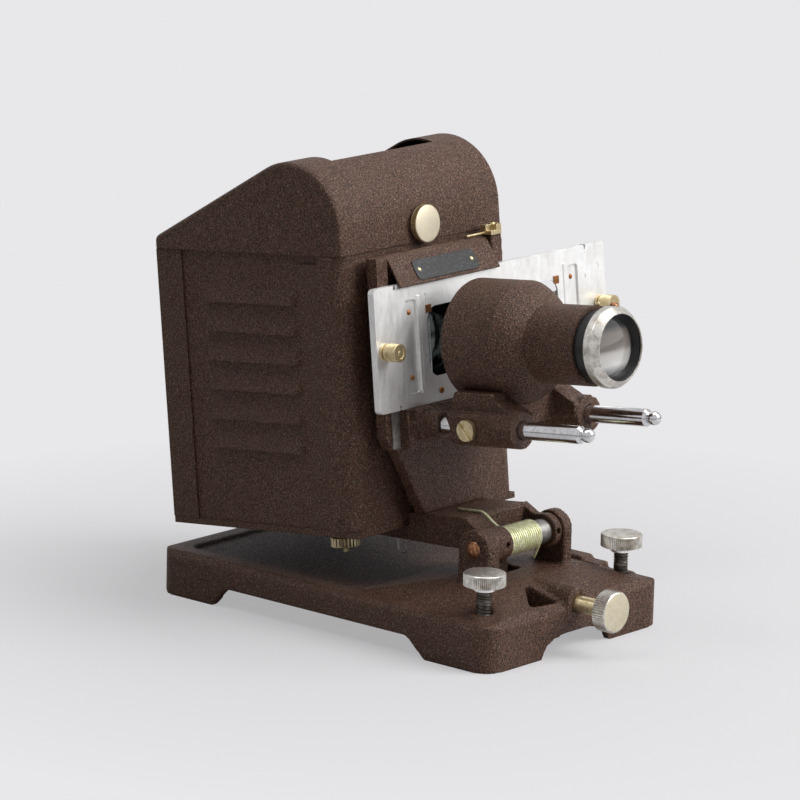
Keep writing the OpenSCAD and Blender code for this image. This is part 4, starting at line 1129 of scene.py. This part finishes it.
class PROJECTOR_OT_hinge(bpy.types.Operator):
    """Tilt hinge: riveted pin, sleeve and wound spring"""
    bl_idname = "projector.hinge"
    bl_label = "Hinge and spring"

    def execute(self, context):
        eased_all(("hinge_pin", "hinge_pin_piece", 0.15, "copper_rivet", 60),
                  ("spring_sleeve", "spring_sleeve_piece", 0.1, "plain_steel", 60),
                  ("hood_hinge_pin", "hood_hinge_pin_piece", 0.1, "plain_steel", 60),
                  ("wire_loop", "wire_loop_piece", 0.05, "plain_steel", 60))
        wire_radius = 0.78 * MM
        points = [HINGE + Vector(p) * MM for p in self.wire_path()]
        spring = new_object("tension_spring", mesh_from("spring", lambda bm: tube(
            bm, points, wire_radius, 12)))
        spring.data.shade_smooth()
        dress(tip(HEAD, spring), "head", "torsion_spring", finish=finish("zinc_yellow_wire"))
        return {"FINISHED"}

    def wire_path(self):
        """Millimetres from the hinge: a leg over the arm, the coil, and a leg down to the base."""
        coil_r, turns, pitch, start, steps = 8.0, 14 + 1 / 3, 1.76, -12.2, 36
        over_arm = 15.5 + 0.65 + 0.3
        path = [(x, y, over_arm) for x, y in (
            (-10, 32.6), (-10.2, 31), (-11, 25), (-11.2, 20), (-11.4, 16.5))]
        path += [(-11.5, 14.5, 16.45), (-11.6, 12.2, 15.6), (-11.8, 9.4, 13.9),
                 (-12, 6.2, 11.3), (-12.1, 3, 9.1)]
        for i in range(round(turns * steps) + 1):
            a = 2 * math.pi * i / steps
            path.append((start + pitch * i / steps, -coil_r * math.sin(a), coil_r * math.cos(a)))
        end = Vector(path[-1])
        last = 2 * math.pi * turns
        leaving = Vector((0, -math.cos(last), -math.sin(last)))
        return path + [end + t * leaving for t in (3, 6, 9, 11)]


class PROJECTOR_OT_carrier(bpy.types.Operator):
    """Slide carrier with its springs, studs and pull knobs, and the turn catch"""
    bl_idname = "projector.carrier"
    bl_label = "Slide carrier"

    def execute(self, context):
        eased_all(("carrier_plate", "carrier_plate_piece", 0.22, "satin_aluminium", 30),
                  ("carrier_springs", "carrier_leaf_springs", 0.08, "spring_steel", 50),
                  ("carrier_knob_left", "pull_knob_left", 0.25, "yellow_brass", 50),
                  ("carrier_knob_right", "pull_knob_right", 0.25, "yellow_brass", 50),
                  ("carrier_studs", "carrier_stud_heads", 0.1, "tarnished_brass", 60),
                  ("guide_strip", "carrier_guides", 0.15, "plain_steel", 30),
                  ("catch", "turn_catch_piece", 0.35, "yellow_brass", 30))
        return {"FINISHED"}


class PROJECTOR_OT_lens(bpy.types.Operator):
    """Lens housing, barrel, ring, glasses, guide rods and screws"""
    bl_idname = "projector.lens"
    bl_label = "Lens"

    def execute(self, context):
        eased("lens_housing", "lens_housing_skin", 0.3 * MM, finish("enamel"),
              finish("enamel_edge"), angle=21, crease=16)
        eased_all(("lens_barrel", "lens_barrel_piece", 0.15, "black_gloss", 40),
                  ("lens_ring", "lens_ring_piece", 0.25, "nickel_plate", 40),
                  ("front_lens", "front_glass", 0.05, "mirroring_glass", 60),
                  ("rear_lens", "rear_glass", 0.05, "optical_glass", 60),
                  ("guide_rod_left", "rod_left", 0.1, "chrome_plate", 60),
                  ("guide_rod_right", "rod_right", 0.1, "chrome_plate", 60),
                  ("lock_screw", "lock_screw_piece", 0.25, "yellow_brass", 50),
                  ("ring_screw", "ring_screw_piece", 0.1, "copper_rivet", 60),
                  ("stop_screw", "stop_screw_piece", 0.1, "yellow_brass", 60))
        return {"FINISHED"}


class PROJECTOR_OT_plate(bpy.types.Operator):
    """Bare black plate with a bright rim and two rivets"""
    bl_idname = "projector.plate"
    bl_label = "Plate"

    def execute(self, context):
        eased("name_plate", "plate_face", 0.55 * MM, finish("plate_enamel"), finish("bright_rim"))
        eased("name_plate_rivets", "plate_rivets", 0.05 * MM, finish("yellow_brass"), angle=60)
        return {"FINISHED"}


class PROJECTOR_OT_lamp_parts(bpy.types.Operator):
    """Lamp, holder, mirror, condenser and mains inlet"""
    bl_idname = "projector.lamp_parts"
    bl_label = "Lamp parts"

    def execute(self, context):
        for node, metal in (
                ("condenser_barrel", "matt_black"), ("condenser_lens_front", "optical_glass"),
                ("condenser_lens_rear", "optical_glass"), ("heat_glass", "heat_absorbing_glass"),
                ("socket_bracket", "plain_steel"), ("lamp_socket", "white_ceramic"),
                ("lamp_bulb", "optical_glass"), ("lamp_reflector", "silvered_mirror"),
                ("power_inlet", "phenolic"), ("inlet_pins", "yellow_brass")):
            eased_all((node, node + "_piece", 0.2, metal, 50))
        return {"FINISHED"}


class PROJECTOR_PT_panel(bpy.types.Panel):
    """Sidebar list of the pieces"""
    bl_idname = "PROJECTOR_PT_panel"
    bl_label = "Slide Projector"
    bl_space_type = "VIEW_3D"
    bl_region_type = "UI"
    bl_category = "Projector"

    def draw(self, context):
        for operator in STEPS:
            self.layout.operator(operator.bl_idname)
        for name in ("projector_paint", "projector_metal", "projector_stage"):
            settings = getattr(context.scene, name)
            box = self.layout.box()
            for key in settings.__annotations__:
                box.prop(settings, key)


STEPS = (
    PROJECTOR_OT_stage, PROJECTOR_OT_castings, PROJECTOR_OT_lamp_house, PROJECTOR_OT_louvres,
    PROJECTOR_OT_hood, PROJECTOR_OT_knobs, PROJECTOR_OT_hinge, PROJECTOR_OT_carrier,
    PROJECTOR_OT_lens, PROJECTOR_OT_plate, PROJECTOR_OT_lamp_parts,
)
CLASSES = (PaintSettings, MetalSettings, StageSettings, *STEPS, PROJECTOR_PT_panel)


def register():
    for cls in CLASSES:
        bpy.utils.register_class(cls)
    bpy.types.Scene.projector_paint = PointerProperty(type=PaintSettings)
    bpy.types.Scene.projector_metal = PointerProperty(type=MetalSettings)
    bpy.types.Scene.projector_stage = PointerProperty(type=StageSettings)


def unregister():
    del bpy.types.Scene.projector_paint
    del bpy.types.Scene.projector_metal
    del bpy.types.Scene.projector_stage
    for cls in reversed(CLASSES):
        bpy.utils.unregister_class(cls)


def main():
    register()
    bpy.context.scene.view_settings.view_transform = "Standard"
    bpy.ops.projector.stage()
    bpy.ops.projector.castings()
    bpy.ops.projector.lamp_house()
    bpy.ops.projector.louvres()
    bpy.ops.projector.hood()
    bpy.ops.projector.knobs()
    bpy.ops.projector.hinge()
    bpy.ops.projector.carrier()
    bpy.ops.projector.lens()
    bpy.ops.projector.plate()
    bpy.ops.projector.lamp_parts()


if __name__ == "__main__":
    main()
